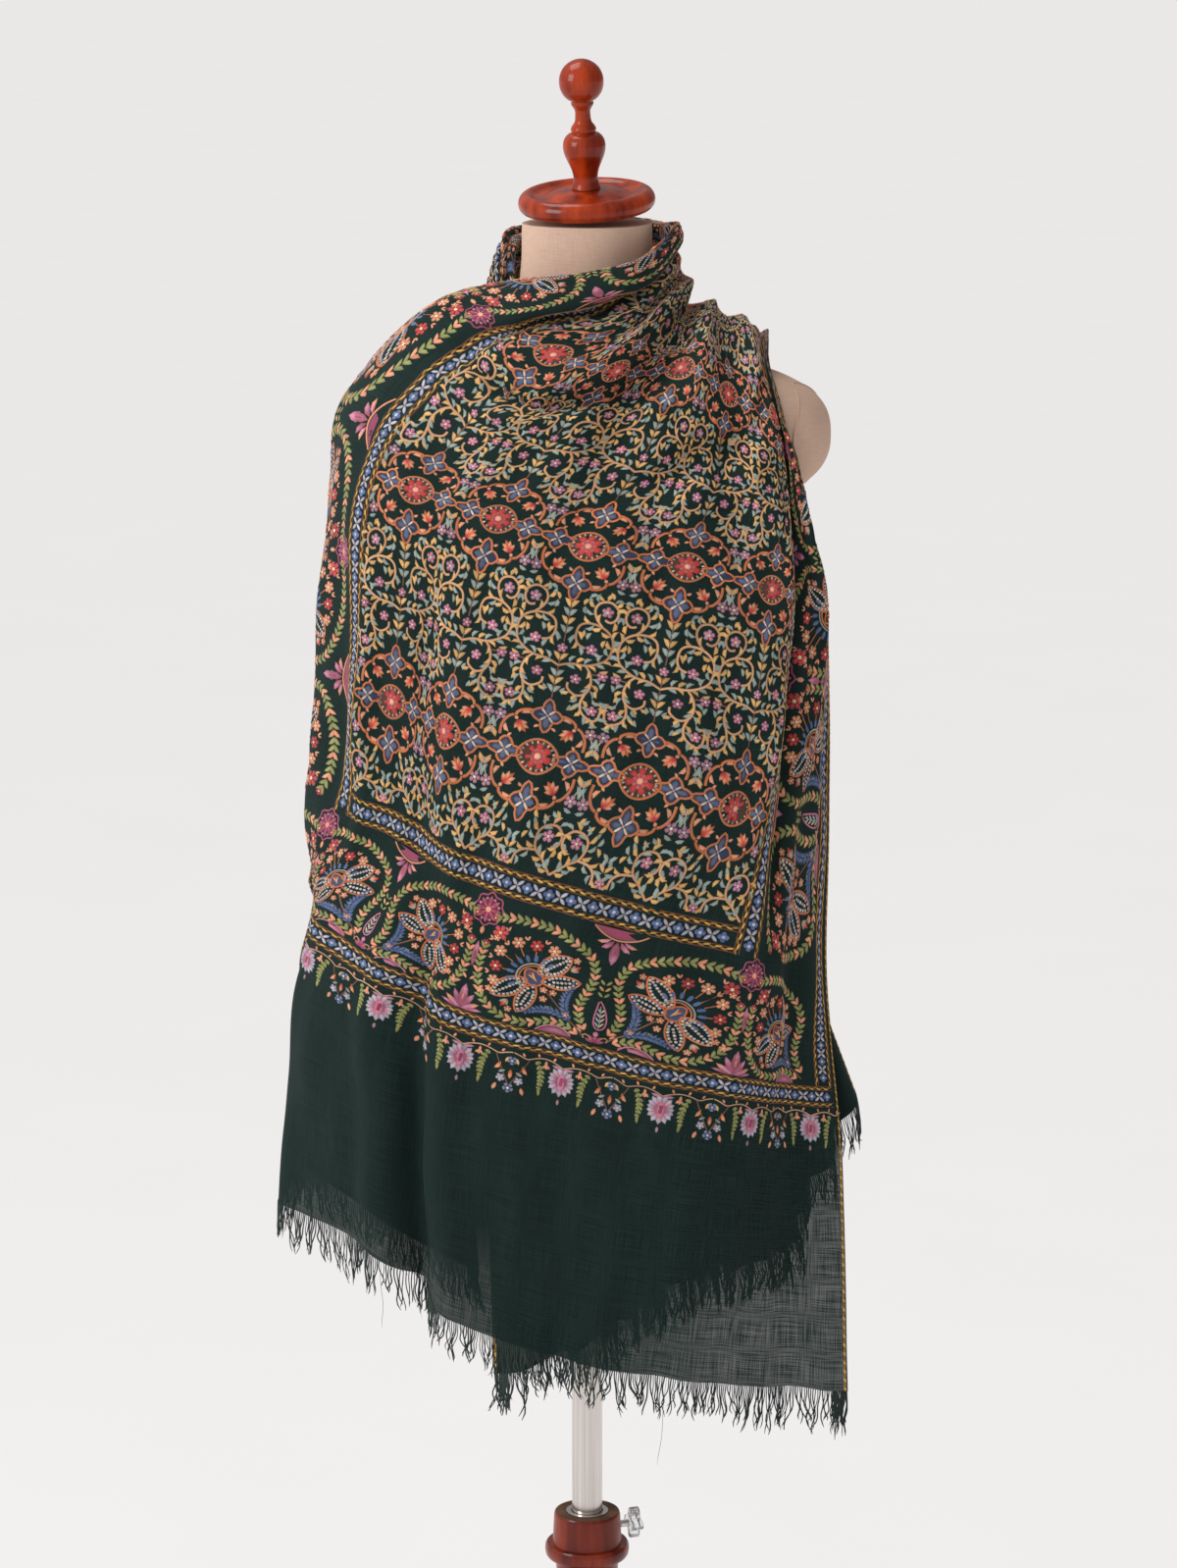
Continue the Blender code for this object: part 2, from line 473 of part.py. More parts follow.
def add_fringe(name, hem, inward, material, collection):
    """Add the plain strip that the fringe fills, straight down from a hem."""
    across = np.linspace(0.004, CLOTH_WIDTH - 0.004, FRINGE_COLUMNS)
    hem_line = np.broadcast_to(across, (3, FRINGE_COLUMNS))
    along = np.array([hem, hem + inward * 0.004, hem + inward * 0.008])[:, None]
    surface = cloth_surface(hem_line, np.broadcast_to(along, hem_line.shape))
    top = surface[0].copy()
    top[:, 2] -= WALL / 2 + STRETCH_GAP + 0.0006
    rows = [top + np.array([0.0, 0.0, -FRINGE_LENGTH * share]) for share in (0.0, 0.5, 1.0)]
    if inward > 0:
        rows.reverse()
    thing = add_object(name, grid_mesh(name, np.array(rows)), material, collection)
    add_wall(thing, FRINGE_WALL)
    return thing


def torso_radius(angle, height):
    """Return the form's reach at an angle about Z, measured from the wearer's left."""
    table = np.array(TORSO_SECTIONS)
    half_width, front, back = smooth_through(table[:, 0], table[:, 1:], [height])[0]
    depth = back if sin(angle) > 0 else front
    body = 1.0 / ((abs(cos(angle)) / half_width) ** 2.3
                  + (abs(sin(angle)) / depth) ** 2.3) ** (1 / 2.3)
    rise = (height - ARM_HEIGHT) / ARM_HALF_HEIGHT
    if abs(rise) >= 1.0:
        return body
    shape = (1.0 - abs(rise) ** 2.6) ** (1 / 2.6)
    reach = ARM_REACH * shape
    depth = ARM_HALF_DEPTH * shape
    arm = 1.0 / ((abs(cos(angle)) / reach) ** 3.2 + (abs(sin(angle)) / depth) ** 3.2) ** (1 / 3.2)
    return (body ** 14 + arm ** 14) ** (1 / 14)


def form_heights():
    """Return the heights of the form's rings, closer together at the arms and shoulders."""
    lower = np.linspace(FORM_BOTTOM, 1.225, 10)
    upper = np.linspace(1.237, 1.412, 19)
    neck = np.linspace(1.425, NECK_TOP, 3)
    return np.concatenate([lower, upper, neck])


def add_form(material, collection):
    bm = bmesh.new()
    rings = []
    for height in form_heights():
        ring = []
        for side in range(FORM_SIDES):
            angle = 2 * pi * side / FORM_SIDES
            reach = torso_radius(angle, height)
            ring.append(bm.verts.new((reach * cos(angle), reach * sin(angle), height)))
        rings.append(ring)
    for lower, upper in zip(rings, rings[1:]):
        for side in range(FORM_SIDES):
            after = (side + 1) % FORM_SIDES
            bm.faces.new((lower[side], lower[after], upper[after], upper[side]))
    bm.faces.new(list(reversed(rings[0])))
    bm.faces.new(rings[-1])
    mesh = bpy.data.meshes.new("dress_form")
    bm.to_mesh(mesh)
    bm.free()
    mesh.shade_smooth()
    return add_object("dress_form", mesh, material, collection)


def add_turned(name, profile, material, collection, sides=TURNED_SIDES):
    """Add a solid turned from an outline that runs down its outer side."""
    mesh = bpy.data.meshes.new(name)
    closed = profile[0][0] > 0
    edges = [(i, i + 1) for i in range(len(profile) - 1)]
    if closed:
        edges.append((len(profile) - 1, 0))
    mesh.from_pydata([(radius, 0.0, height) for radius, height in profile], edges, [])
    thing = add_object(name, mesh, material, collection)
    screw = thing.modifiers.new("turning", "SCREW")
    screw.steps = sides
    screw.render_steps = sides
    screw.use_merge_vertices = True
    screw.merge_threshold = 0.00002
    screw.use_smooth_shade = True
    return thing


def add_cap_and_finial(material, collection):
    lean = Matrix.Rotation(CAP_LEAN_SIDE, 4, "Y") @ Matrix.Rotation(CAP_LEAN_FORWARD, 4, "X")
    seat = Vector((0.0, 0.0, CAP_UNDERSIDE + NECK_RADIUS * sin(CAP_LEAN_FORWARD)))
    turn = Matrix.Rotation(DRAPE_TURN, 4, "Z")
    cap = add_turned("neck_cap", CAP_PROFILE, material, collection, sides=40)
    cap.matrix_world = Matrix.Translation(seat) @ turn @ lean
    finial = add_turned("finial", FINIAL_PROFILE, material, collection, sides=24)
    rise = Vector((0.0, 0.0, CAP_PROFILE[0][1] + JOINT_GAP))
    finial.matrix_world = cap.matrix_world @ Matrix.Translation(rise)
    return cap, finial


def add_stand(collection, wood, steel):
    add_turned("stand_column", COLLAR_PROFILE, wood, collection)
    add_turned("stand_base", BASE_PROFILE, wood, collection, sides=48)
    bushing = (
        (BUSHING_BORE, COLLAR_TOP + 0.0006), (BUSHING_RADIUS, COLLAR_TOP + 0.0006),
        (BUSHING_RADIUS, COLLAR_TOP - BUSHING_DEPTH), (BUSHING_BORE, COLLAR_TOP - BUSHING_DEPTH))
    add_turned("collar_bushing", bushing, steel, collection)
    pole = (
        (0.0, FORM_BOTTOM - JOINT_GAP), (POLE_RADIUS, FORM_BOTTOM - JOINT_GAP),
        (POLE_RADIUS, COLLAR_TOP - BUSHING_DEPTH), (0.0, COLLAR_TOP - BUSHING_DEPTH))
    add_turned("pole", pole, steel, collection, sides=32)


def add_knob(collection, plastic, steel):
    """Add the four-armed clamp knob and its screw, behind the collar on the wearer's left."""
    bm = bmesh.new()
    points = 48
    for level in (0.0, KNOB_THICKNESS):
        ring = []
        for i in range(points):
            angle = 2 * pi * i / points
            reach = KNOB_RADIUS * (0.78 + 0.22 * cos(4 * angle))
            ring.append(bm.verts.new((reach * cos(angle), reach * sin(angle), level)))
    bm.verts.ensure_lookup_table()
    lower, upper = bm.verts[:points], bm.verts[points:]
    bm.faces.new(list(reversed(lower)))
    bm.faces.new(list(upper))
    for i in range(points):
        after = (i + 1) % points
        bm.faces.new((lower[i], lower[after], upper[after], upper[i]))
    mesh = bpy.data.meshes.new("clamp_knob")
    bm.to_mesh(mesh)
    bm.free()
    knob = add_object("clamp_knob", mesh, plastic, collection)
    outward = Vector((cos(KNOB_DIRECTION), sin(KNOB_DIRECTION), 0.0))
    facing = outward.to_track_quat("Z", "Y").to_matrix().to_4x4()
    collar_reach = 0.0292
    knob.matrix_world = (Matrix.Translation(outward * (collar_reach + KNOB_STAND_OFF)
                                            + Vector((0.0, 0.0, KNOB_HEIGHT + 0.008))) @ facing)
    stem_length = KNOB_STAND_OFF - 2 * JOINT_GAP - 0.0004
    stem = (
        (0.0, stem_length), (SCREW_RADIUS, stem_length), (SCREW_RADIUS, 0.0), (0.0, 0.0))
    screw = add_turned("clamp_screw", stem, steel, collection, sides=16)
    screw.matrix_world = (Matrix.Translation(outward * (collar_reach + JOINT_GAP + 0.0004)
                                             + Vector((0.0, 0.0, KNOB_HEIGHT + 0.008))) @ facing)
    return knob


def main():
    for thing in list(bpy.data.objects):
        bpy.data.objects.remove(thing, do_unlink=True)
    collection = bpy.data.collections.new(COLLECTION)
    bpy.context.scene.collection.children.link(collection)
    materials = {name: make_material(name) for name in COLOURS}

    add_form(materials["linen"], collection)
    add_cap_and_finial(materials["lacquered_wood"], collection)
    add_stand(collection, materials["lacquered_wood"], materials["steel"])
    add_knob(collection, materials["clear_plastic"], materials["steel"])

    wool = materials["wool"]
    half_gap = STRETCH_GAP / 2
    add_cloth_stretch("shawl_front", 0.0, FRONT_END - half_gap, FRONT_ROWS, wool, collection)
    add_cloth_stretch("shawl_behind_neck", FRONT_END + half_gap, BEHIND_END - half_gap,
                      BEHIND_ROWS, wool, collection)
    add_cloth_stretch("shawl_under_end", BEHIND_END + half_gap, CLOTH_LENGTH, UNDER_ROWS, wool,
                      collection, crowding=1.5)
    add_fringe("fringe_front", 0.0, 1, materials["fringe"], collection)
    add_fringe("fringe_under", CLOTH_LENGTH, -1, materials["fringe"], collection)


main()
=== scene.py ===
"""Looks of a pashmina shawl on a dress form stand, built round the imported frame.

The shawl is one long sheet laid out by the same named sections as its solids, with finer
folds, and its needlework is laid out flat and then carried onto the folded cloth.
"""

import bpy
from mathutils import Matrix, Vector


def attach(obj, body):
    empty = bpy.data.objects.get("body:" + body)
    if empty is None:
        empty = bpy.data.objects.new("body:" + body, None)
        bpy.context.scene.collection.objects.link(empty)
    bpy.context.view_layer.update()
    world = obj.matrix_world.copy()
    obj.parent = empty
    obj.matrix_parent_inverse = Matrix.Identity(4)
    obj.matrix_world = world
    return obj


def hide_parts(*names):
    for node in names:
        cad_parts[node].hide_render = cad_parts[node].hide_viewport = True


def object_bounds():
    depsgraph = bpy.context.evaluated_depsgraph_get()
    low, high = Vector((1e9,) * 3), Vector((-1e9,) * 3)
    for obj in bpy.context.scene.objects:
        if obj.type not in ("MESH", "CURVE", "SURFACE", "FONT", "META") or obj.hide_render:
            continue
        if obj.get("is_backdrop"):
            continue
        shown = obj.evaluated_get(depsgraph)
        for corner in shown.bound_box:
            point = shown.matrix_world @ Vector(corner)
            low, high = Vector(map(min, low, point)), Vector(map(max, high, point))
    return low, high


bl_info = {
    "name": "Pashmina Shawl on a Dress Form",
    "version": (1, 0, 0),
    "blender": (4, 5, 0),
    "location": "3D View > Sidebar > Shawl",
    "description": "Drapes an embroidered shawl on a dress form with a turned wooden stand",
    "category": "Object",
}

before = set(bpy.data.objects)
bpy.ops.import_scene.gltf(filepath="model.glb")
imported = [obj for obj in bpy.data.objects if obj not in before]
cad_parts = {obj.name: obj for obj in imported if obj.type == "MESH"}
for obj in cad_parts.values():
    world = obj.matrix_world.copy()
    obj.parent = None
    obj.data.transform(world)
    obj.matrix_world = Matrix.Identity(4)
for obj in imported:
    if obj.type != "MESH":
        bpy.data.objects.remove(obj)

from math import atan2, cos, degrees, pi, radians, sin

import bmesh
import bpy
import numpy as np
from mathutils import Matrix, Vector

BODY = "root"
SIDES = (1, -1)

# Cloth, as cut, in metres.
CLOTH_WIDTH = 0.712
CLOTH_LENGTH = 2.032
CLOTH_STEP = 0.004
DRAPE_TURN = radians(18.0)

# Form, cap and stand, in metres.
NECK_RADIUS = 0.0507
NECK_TOP = 1.4655
FORM_BOTTOM = 0.780
FORM_SIDES = 128
ARM_REACH = 0.199
ARM_HEIGHT = 1.302
ARM_HALF_HEIGHT = 0.064
ARM_HALF_DEPTH = 0.056
TORSO_POWER, ARM_POWER, ARM_RISE_POWER, BLEND_POWER = 2.3, 3.2, 2.6, 14
ARM_SEAM_TURN, ARM_SEAM_RISE = 0.20, 0.042
LONG_SEAMS = (-90, 90, -58, -122, 58, 122)
SEAM_TOP, NECK_SEAM, SEAM_RADIUS = 1.40, 1.407, 0.0008
CAP_LEAN_FORWARD = radians(7.5)
CAP_LEAN_SIDE = radians(-2.6)
CAP_UNDERSIDE = 1.4690
JOINT_GAP = 0.0003
POLE_RADIUS = 0.0128
COLLAR_TOP = 0.380
BUSHING_RADIUS = 0.0178
BUSHING_BORE = 0.0136
BUSHING_DEPTH = 0.030
KNOB_HEIGHT = 0.356
KNOB_RADIUS = 0.0135
KNOB_THICKNESS = 0.009
KNOB_DIRECTION = radians(38.0)
KNOB_STAND_OFF = 0.0085
COLLAR_REACH = 0.0292
SCREW_RADIUS = 0.003
SCREW_GAP = 0.0004
KNOB_LIFT = 0.008
KNOB_BEVEL = 0.0014
RIM_RISE = 0.0006
FLOOR_GAP = 0.0005
FLOOR_RADIUS = 60.0

# One strand of a fringe in this many is a long thin stray.
STRAY_EVERY = 150

# Camera: lens, frame height and sideways shift in the same small parts, then millimetres and
# metres. Lights: name, place, size and share of the key power; all aim at one point.
FOCAL_LENGTH, FRAME_HEIGHT, FRAME_SHIFT = 4734.0, 1598.0, 1.4
SENSOR_HEIGHT, FAR_CLIP = 36.0, 100.0
LIGHTS = (("key_light", (-2.8, -1.7, 2.5), 1.6, 1.0), ("top_light", (-0.8, 0.2, 3.4), 1.2, 0.4))
LIGHT_AIM = (0.0, 0.0, 1.1)
SURROUND_COLOUR = (1.0, 0.975, 0.96, 1.0)
SURROUND_BRIGHTEST = (-0.80, -0.42, 0.42)
SURROUND_LEAST, SURROUND_MOST = 0.25, 1.85

# Weave of the wool, in metres, and the most that it covers.
WEAVE_THREAD = 0.0007
WOOL_ALPHA = 0.9995

# Half width and front and back reach of the torso at each height, in millimetres.
TORSO_SECTIONS = (
    # height, half_width, front, back
    (780, 146, 80, 94), (830, 149, 82, 98), (900, 140, 80, 92), (990, 122, 76, 72),
    (1080, 136, 88, 70), (1170, 152, 98, 74), (1250, 158, 92, 78), (1310, 158, 80, 76),
    (1342, 150, 68, 68), (1358, 122, 60, 60), (1373, 88, 55, 55), (1394, 61, 53, 53),
    (1425, 52.5, 52, 52), (1465.5, 50.7, 50.7, 50.7))

# Turned outlines in millimetres, from the axis at the top to the axis at the bottom: (radius,
# height).
CAP_PROFILE = (
    (0, 17.2), (12, 17), (24, 15.8), (30, 13.6), (36, 11.8), (42, 12.8), (45.8, 15.2), (48, 15.8),
    (51, 14.6), (53.8, 11.2), (54.8, 7.2), (53.8, 3.2), (51.2, 0.6), (49.5, 0), (0, 0))
FINIAL_PROFILE = (
    (0, 103.5), (5, 102.7), (9.8, 100.4), (14, 96.6), (16.7, 91.5), (17.7, 85.7), (17, 80),
    (14.6, 75), (11.2, 71.5), (8.8, 70), (9, 67.8), (7.8, 65.6), (6.4, 63), (6.2, 58), (7, 53),
    (8.8, 50.5), (10, 48.2), (10, 46.4), (9.2, 45), (12.2, 43.8), (15.6, 40), (17, 34.5),
    (16.4, 29), (14, 22.5), (11.2, 16), (9.8, 10), (10.2, 4.5), (11.4, 0), (0, 0))
COLLAR_PROFILE = (
    (18.2, 380), (26.8, 380), (27.6, 379), (28, 377), (29, 356), (29.6, 353), (34, 352.6),
    (35.3, 350.5), (35.6, 347), (35, 343), (33.4, 340.8), (27.5, 340), (26.8, 338.5), (26.2, 330),
    (26.2, 290), (27.5, 278), (33, 262), (36.2, 238), (35, 208), (30, 172), (25.2, 142),
    (23.2, 120), (24, 106), (30, 98), (31, 90), (29, 84), (29, 60), (34, 48), (44, 40), (46, 30.3),
    (0, 30.3), (0, 349.7), (18.2, 349.7))
BASE_PROFILE = (
    (0, 30), (60, 30), (100, 29.2), (132, 26.2), (146, 22), (153, 16), (155, 10), (154, 4),
    (151, 0), (0, 0))

# Sections across the cloth, in millimetres, from its left selvedge to its right one. The
# places along it are the distances from the front hem at both selvedges.
SECTIONS = (
    # name, along_left, along_right, rows of (from_left, across, depth, height)
    ("front hem", 0, 0, (
        (0, -92, 78, 564), (85, -168, 62, 612), (150, -228, 26, 664), (206, -254, -28, 660),
        (250, -214, -70, 656), (300, -170, -98, 640), (356, -126, -118, 605),
        (431, -61, -138, 573), (506, 12, -134, 551), (570, 76, -115, 540), (640, 146, -90, 521),
        (712, 216, -60, 507))),
    ("pendants", 205, 205, (
        (0, -110, 100, 780), (85, -176, 72, 815), (150, -220, 26, 850), (200, -234, -22, 860),
        (240, -206, -70, 852), (290, -162, -104, 838), (356, -110, -136, 809),
        (431, -35, -148, 789), (506, 41, -142, 766), (570, 104, -124, 751), (640, 158, -98, 734),
        (712, 208, -60, 721))),
    ("end border", 384, 384, (
        (0, -152, 106, 975), (60, -204, 52, 1002), (95, -226, 6, 1010), (142, -200, -50, 1009),
        (206, -164, -90, 998), (281, -124, -122, 978), (356, -71, -142, 961), (431, 1, -150, 941),
        (506, 74, -140, 920), (570, 138, -118, 901), (640, 167, -92, 887), (712, 195, -50, 875))),
    ("first flower row", 477, 477, (
        (0, -166, 104, 1062), (60, -208, 48, 1086), (92, -221, 0, 1098), (142, -190, -60, 1103),
        (206, -154, -98, 1095), (281, -112, -124, 1077), (356, -39, -142, 1061),
        (431, 40, -146, 1042), (506, 115, -132, 1017), (570, 151, -112, 1004),
        (640, 176, -86, 994), (712, 196, -44, 984))),
    ("vine row", 567, 567, (
        (0, -172, 100, 1146), (60, -208, 46, 1170), (90, -214, -2, 1183), (142, -186, -62, 1188),
        (206, -146, -98, 1180), (281, -94, -122, 1161), (356, -20, -138, 1144),
        (431, 58, -138, 1125), (506, 131, -122, 1104), (570, 160, -100, 1092),
        (640, 183, -74, 1086), (712, 195, -36, 1080))),
    ("second flower row", 657, 657, (
        (0, -170, 104, 1236), (50, -202, 64, 1254), (90, -206, 14, 1266), (142, -179, -54, 1276),
        (206, -132, -94, 1264), (281, -68, -122, 1246), (356, 1, -132, 1226),
        (431, 77, -130, 1210), (506, 143, -117, 1190), (570, 167, -102, 1183),
        (640, 183, -82, 1182), (712, 190, -52, 1178))),
    ("point of the right shoulder", 706, 706, (
        (0, -162, 116, 1276), (50, -194, 72, 1306), (90, -196, 16, 1324), (142, -160, -56, 1322),
        (206, -110, -96, 1294), (281, -46, -122, 1278), (356, 22, -127, 1261),
        (431, 89, -123, 1245), (506, 148, -116, 1227), (570, 164, -106, 1222),
        (640, 175, -96, 1220), (712, 179, -82, 1219))),
    ("shoulder row", 747, 747, (
        (0, -144, 116, 1314), (50, -170, 66, 1352), (90, -148, 8, 1379), (142, -126, -48, 1358),
        (206, -86, -96, 1321), (281, -26, -120, 1307), (356, 43, -122, 1292),
        (431, 100, -119, 1276), (506, 151, -115, 1261), (570, 161, -109, 1260),
        (640, 168, -105, 1260), (712, 171, -101, 1260))),
    ("right of the neckline", 790, 790, (
        (0, -133, 62, 1364), (50, -126, 24, 1397), (80, -112, -10, 1408), (125, -96, -48, 1397),
        (160, -86, -72, 1374), (206, -56, -102, 1345), (281, -2, -113, 1332),
        (356, 58, -111, 1326), (431, 105, -113, 1309), (506, 150, -112, 1293),
        (570, 157, -108, 1291), (640, 162, -105, 1290), (712, 165, -102, 1289))),
    ("neck flower row", 836, 836, (
        (0, -73, -44, 1413), (50, -67, -56, 1421), (80, -61, -70, 1426), (125, -58, -90, 1407),
        (169, -52, -98, 1387), (206, -25, -106, 1371), (281, 24, -106, 1360), (356, 74, -98, 1363),
        (431, 110, -106, 1343), (506, 147, -108, 1324), (570, 152, -104, 1320),
        (640, 155, -101, 1318), (712, 158, -98, 1314))),
    ("neckline", 915, 858, (
        (0, 0, -60, 1408), (50, 1, -66, 1424), (80, 2, -78, 1434), (125, 5, -94, 1417),
        (169, 18, -92, 1402), (206, 34, -87, 1395), (281, 53, -84, 1392), (356, 86, -82, 1388),
        (431, 113, -89, 1373), (506, 141, -94, 1355), (570, 147, -91, 1350), (640, 151, -89, 1346),
        (712, 154, -87, 1341))),
    ("left of the neckline", 960, 872, (
        (0, 34, -48, 1412), (50, 36, -54, 1430), (80, 41, -64, 1443), (125, 47, -74, 1429),
        (169, 53, -66, 1416), (206, 54, -60, 1410), (281, 71, -55, 1411), (356, 92, -56, 1402),
        (431, 114, -62, 1391), (506, 138, -69, 1374), (570, 144, -69, 1369), (640, 147, -69, 1365),
        (712, 150, -68, 1360))),
    ("left shoulder crest", 1005, 890, (
        (0, 60, -14, 1424), (50, 62, -10, 1446), (80, 67, -8, 1460), (125, 72, -12, 1450),
        (169, 73, -14, 1438), (206, 69, -18, 1422), (281, 83, -22, 1419), (356, 99, -27, 1410),
        (431, 116, -33, 1402), (506, 133, -40, 1392), (570, 139, -43, 1388), (640, 143, -44, 1385),
        (712, 147, -45, 1382))),
    ("behind the left of the neck", 1085, 975, (
        (0, 52, 40, 1422), (80, 60, 40, 1461), (206, 70, 50, 1430), (356, 88, 62, 1398),
        (506, 110, 62, 1374), (712, 130, 52, 1350))),
    ("behind the neck", 1165, 1070, (
        (0, 18, 64, 1420), (80, 19, 69, 1461), (206, 22, 86, 1428), (356, 25, 104, 1390),
        (506, 28, 114, 1355), (712, 32, 118, 1316))),
    ("behind the right of the neck", 1240, 1155, (
        (0, -42, 54, 1418), (80, -46, 56, 1455), (206, -56, 74, 1427), (356, -68, 94, 1396),
        (506, -80, 106, 1370), (712, -92, 112, 1344))),
    ("right shoulder crest", 1300, 1225, (
        (0, -58, 10, 1424), (80, -63, 12, 1444), (206, -71, 12, 1430), (356, -80, 13, 1408),
        (506, -91, 17, 1390), (712, -102, 22, 1377))),
    ("under end, below the neckline", 1335, 1268, (
        (0, -56, -28, 1408), (80, -62, -30, 1412), (206, -70, -30, 1404), (356, -81, -28, 1390),
        (506, -94, -24, 1374), (712, -109, -18, 1363))),
    ("under end, upper chest", 1380, 1322, (
        (0, -34, -70, 1376), (80, -44, -71, 1378), (206, -57, -72, 1372), (356, -74, -72, 1352),
        (506, -92, -68, 1336), (712, -112, -62, 1322))),
    ("under end, bust", 1560, 1500, (
        (0, 36, -112, 1196), (80, 18, -114, 1190), (206, -6, -114, 1180), (356, -40, -112, 1166),
        (506, -74, -104, 1152), (712, -104, -92, 1140))),
    ("under end, waist", 1780, 1740, (
        (0, 132, -88, 984), (80, 108, -98, 972), (206, 62, -112, 950), (356, 14, -116, 924),
        (506, -38, -112, 900), (712, -88, -98, 880))),
    ("under hem", 2032, 2032, (
        (0, 221, -26, 756), (50, 202, -36, 710), (100, 184, -46, 676), (160, 174, -58, 638),
        (250, 144, -72, 629), (356, 101, -80, 617), (450, 72, -90, 607), (550, 32, -88, 583),
        (630, -6, -90, 556), (712, -77, -86, 528))),
)

# Folds on top of the sections, in millimetres: places along them and how far they stand out.
FOLDS = (
    # name, half_width, rows of (along, from_left, lift)
    ("hem crease", 14, (
        (-10, 338, -22), (100, 328, -18), (250, 316, -12), (380, 300, 0))),
    ("ridge left of the crease", 20, (
        (-10, 300, 12), (140, 290, 12), (300, 268, 6), (400, 250, 0))),
    ("ridge right of the crease", 24, (
        (-10, 372, 10), (180, 352, 9), (340, 330, 0))),
    ("hem wave, middle", 45, (
        (-10, 470, -10), (160, 460, -6), (340, 440, 0))),
    ("hem wave, right", 34, (
        (-10, 575, 10), (200, 565, 8), (360, 560, 0))),
    ("trough beside the right selvedge", 20, (
        (-10, 668, -9), (200, 655, -10), (420, 640, -8), (500, 630, 0))),
    ("turn at the right arm", 22, (
        (300, 190, 0), (420, 172, 9), (600, 166, 9), (720, 160, 0))),
    ("trough inside the right arm", 30, (
        (280, 262, 0), (380, 250, -10), (520, 236, -10), (660, 220, 0))),
    ("valley beside the left border", 16, (
        (360, 594, 0), (460, 592, -16), (600, 582, -20), (720, 566, -16), (800, 550, -10),
        (860, 540, 0))),
    ("ridge inside the left border", 20, (
        (400, 548, 0), (520, 545, 7), (660, 535, 8), (760, 515, 0))),
    ("pleat in the left border", 12, (
        (540, 640, 0), (620, 630, 10), (740, 618, 10), (840, 606, 0))),
    ("tuck under the neckline", 11, (
        (740, 150, 0), (800, 152, -14), (860, 155, -26), (930, 160, -22), (1020, 170, -10),
        (1100, 180, -6), (1220, 190, 0))),
    ("first cowl ridge", 20, (
        (760, 235, 0), (840, 250, 7), (920, 262, 6), (1000, 270, 2), (1230, 270, 0))),
    ("first cowl trough", 17, (
        (660, 340, 0), (780, 320, -12), (880, 318, -19), (980, 320, -17), (1120, 322, -8),
        (1230, 322, 0))),
    ("second gather", 19, (
        (780, 392, 0), (860, 378, 6), (940, 374, 4), (1020, 374, 3), (1230, 374, 0))),
    ("second trough", 16, (
        (680, 460, 0), (780, 442, -9), (880, 430, -10), (940, 430, -4), (1000, 430, -2),
        (1230, 430, 0))),
    ("third gather", 19, (
        (800, 490, 0), (880, 484, 4), (1000, 484, 2), (1230, 484, 0))),
    ("third trough", 14, (
        (780, 545, 0), (860, 540, -7), (920, 538, -2), (1220, 538, 0))),
    ("fourth gather", 18, (
        (880, 590, 0), (950, 590, 3), (1020, 590, 2), (1220, 590, 0))),
    ("fourth trough", 14, (
        (900, 640, 0), (960, 640, -3), (1020, 640, -2), (1220, 640, 0))),
    ("shoulder drawn down", 130, (
        (860, 400, 0), (930, 400, -8), (1020, 400, -8), (1120, 400, 0))),
    ("edge of the shoulder drawn down", 110, (
        (820, 660, 0), (880, 650, -10), (960, 640, -10), (1080, 640, 0))),
    ("side kept full above the pendants", 60, (
        (200, 180, 0), (250, 160, 10), (300, 140, 18), (350, 115, 11), (400, 100, 0))),
    ("valley across the chest", 40, (
        (768, 150, 0), (778, 200, -9), (790, 250, -14), (804, 290, -14), (830, 325, -10),
        (870, 335, -5), (900, 335, 0))),
    ("ridge below the valley", 40, (
        (738, 140, 0), (750, 190, 6), (763, 250, 9), (778, 300, 9), (800, 350, 5), (830, 370, 0))),
    ("valley to the left shoulder", 20, (
        (700, 345, 0), (730, 372, -9), (765, 410, -12), (795, 445, -10), (840, 482, -10),
        (880, 500, 0))),
    ("ridge below the shoulder valley", 20, (
        (680, 372, 0), (710, 402, 6), (745, 440, 7), (780, 480, 5), (820, 510, 0))),
    ("under end trough, inner", 35, (
        (1500, 140, 0), (1700, 140, -6), (2040, 140, -12))),
    ("under end ridge", 35, (
        (1500, 280, 0), (1700, 280, 5), (2040, 280, 11))),
    ("under end trough, outer", 35, (
        (1500, 430, 0), (1700, 430, -6), (2040, 430, -12))),
    ("under end ridge, outer", 35, (
        (1500, 580, 0), (1700, 580, 5), (2040, 580, 10))),
)

# Threads, as sRGB values out of 255.
THREADS = {
    "ochre": (210, 166, 104), "gold": (214, 168, 76), "old_gold": (158, 112, 44),
    "sage": (146, 158, 148), "olive": (140, 142, 84), "rust": (194, 104, 58),
    "tan": (196, 146, 112), "brown": (92, 58, 46), "peach": (222, 150, 114),
    "red": (186, 62, 56), "pink": (196, 124, 148), "rose": (158, 86, 106),
    "magenta": (148, 54, 86), "mauve": (164, 124, 140), "lilac": (176, 170, 182),
    "blue": (84, 102, 142), "navy": (50, 60, 88), "cream": (208, 190, 166),
    "slate": (82, 90, 116), "orange": (212, 122, 68),
}
THREAD_ORDER = tuple(THREADS)

# Painted shade on a stitch at its edges and painted highlight where it stands off by FULL_LIFT
# millimetres, as factors on its thread colour, the lift of its edges, and the usual change in tone
# and in warmth from one stitch to the next.
EDGE_PAINTED_SHADE, HEART_PAINTED_HIGHLIGHT, FULL_LIFT, EDGE_LIFT = 0.56, 1.30, 0.4, 0.06
TONE_CHANGE, WARMTH_CHANGE = 0.11, 0.035


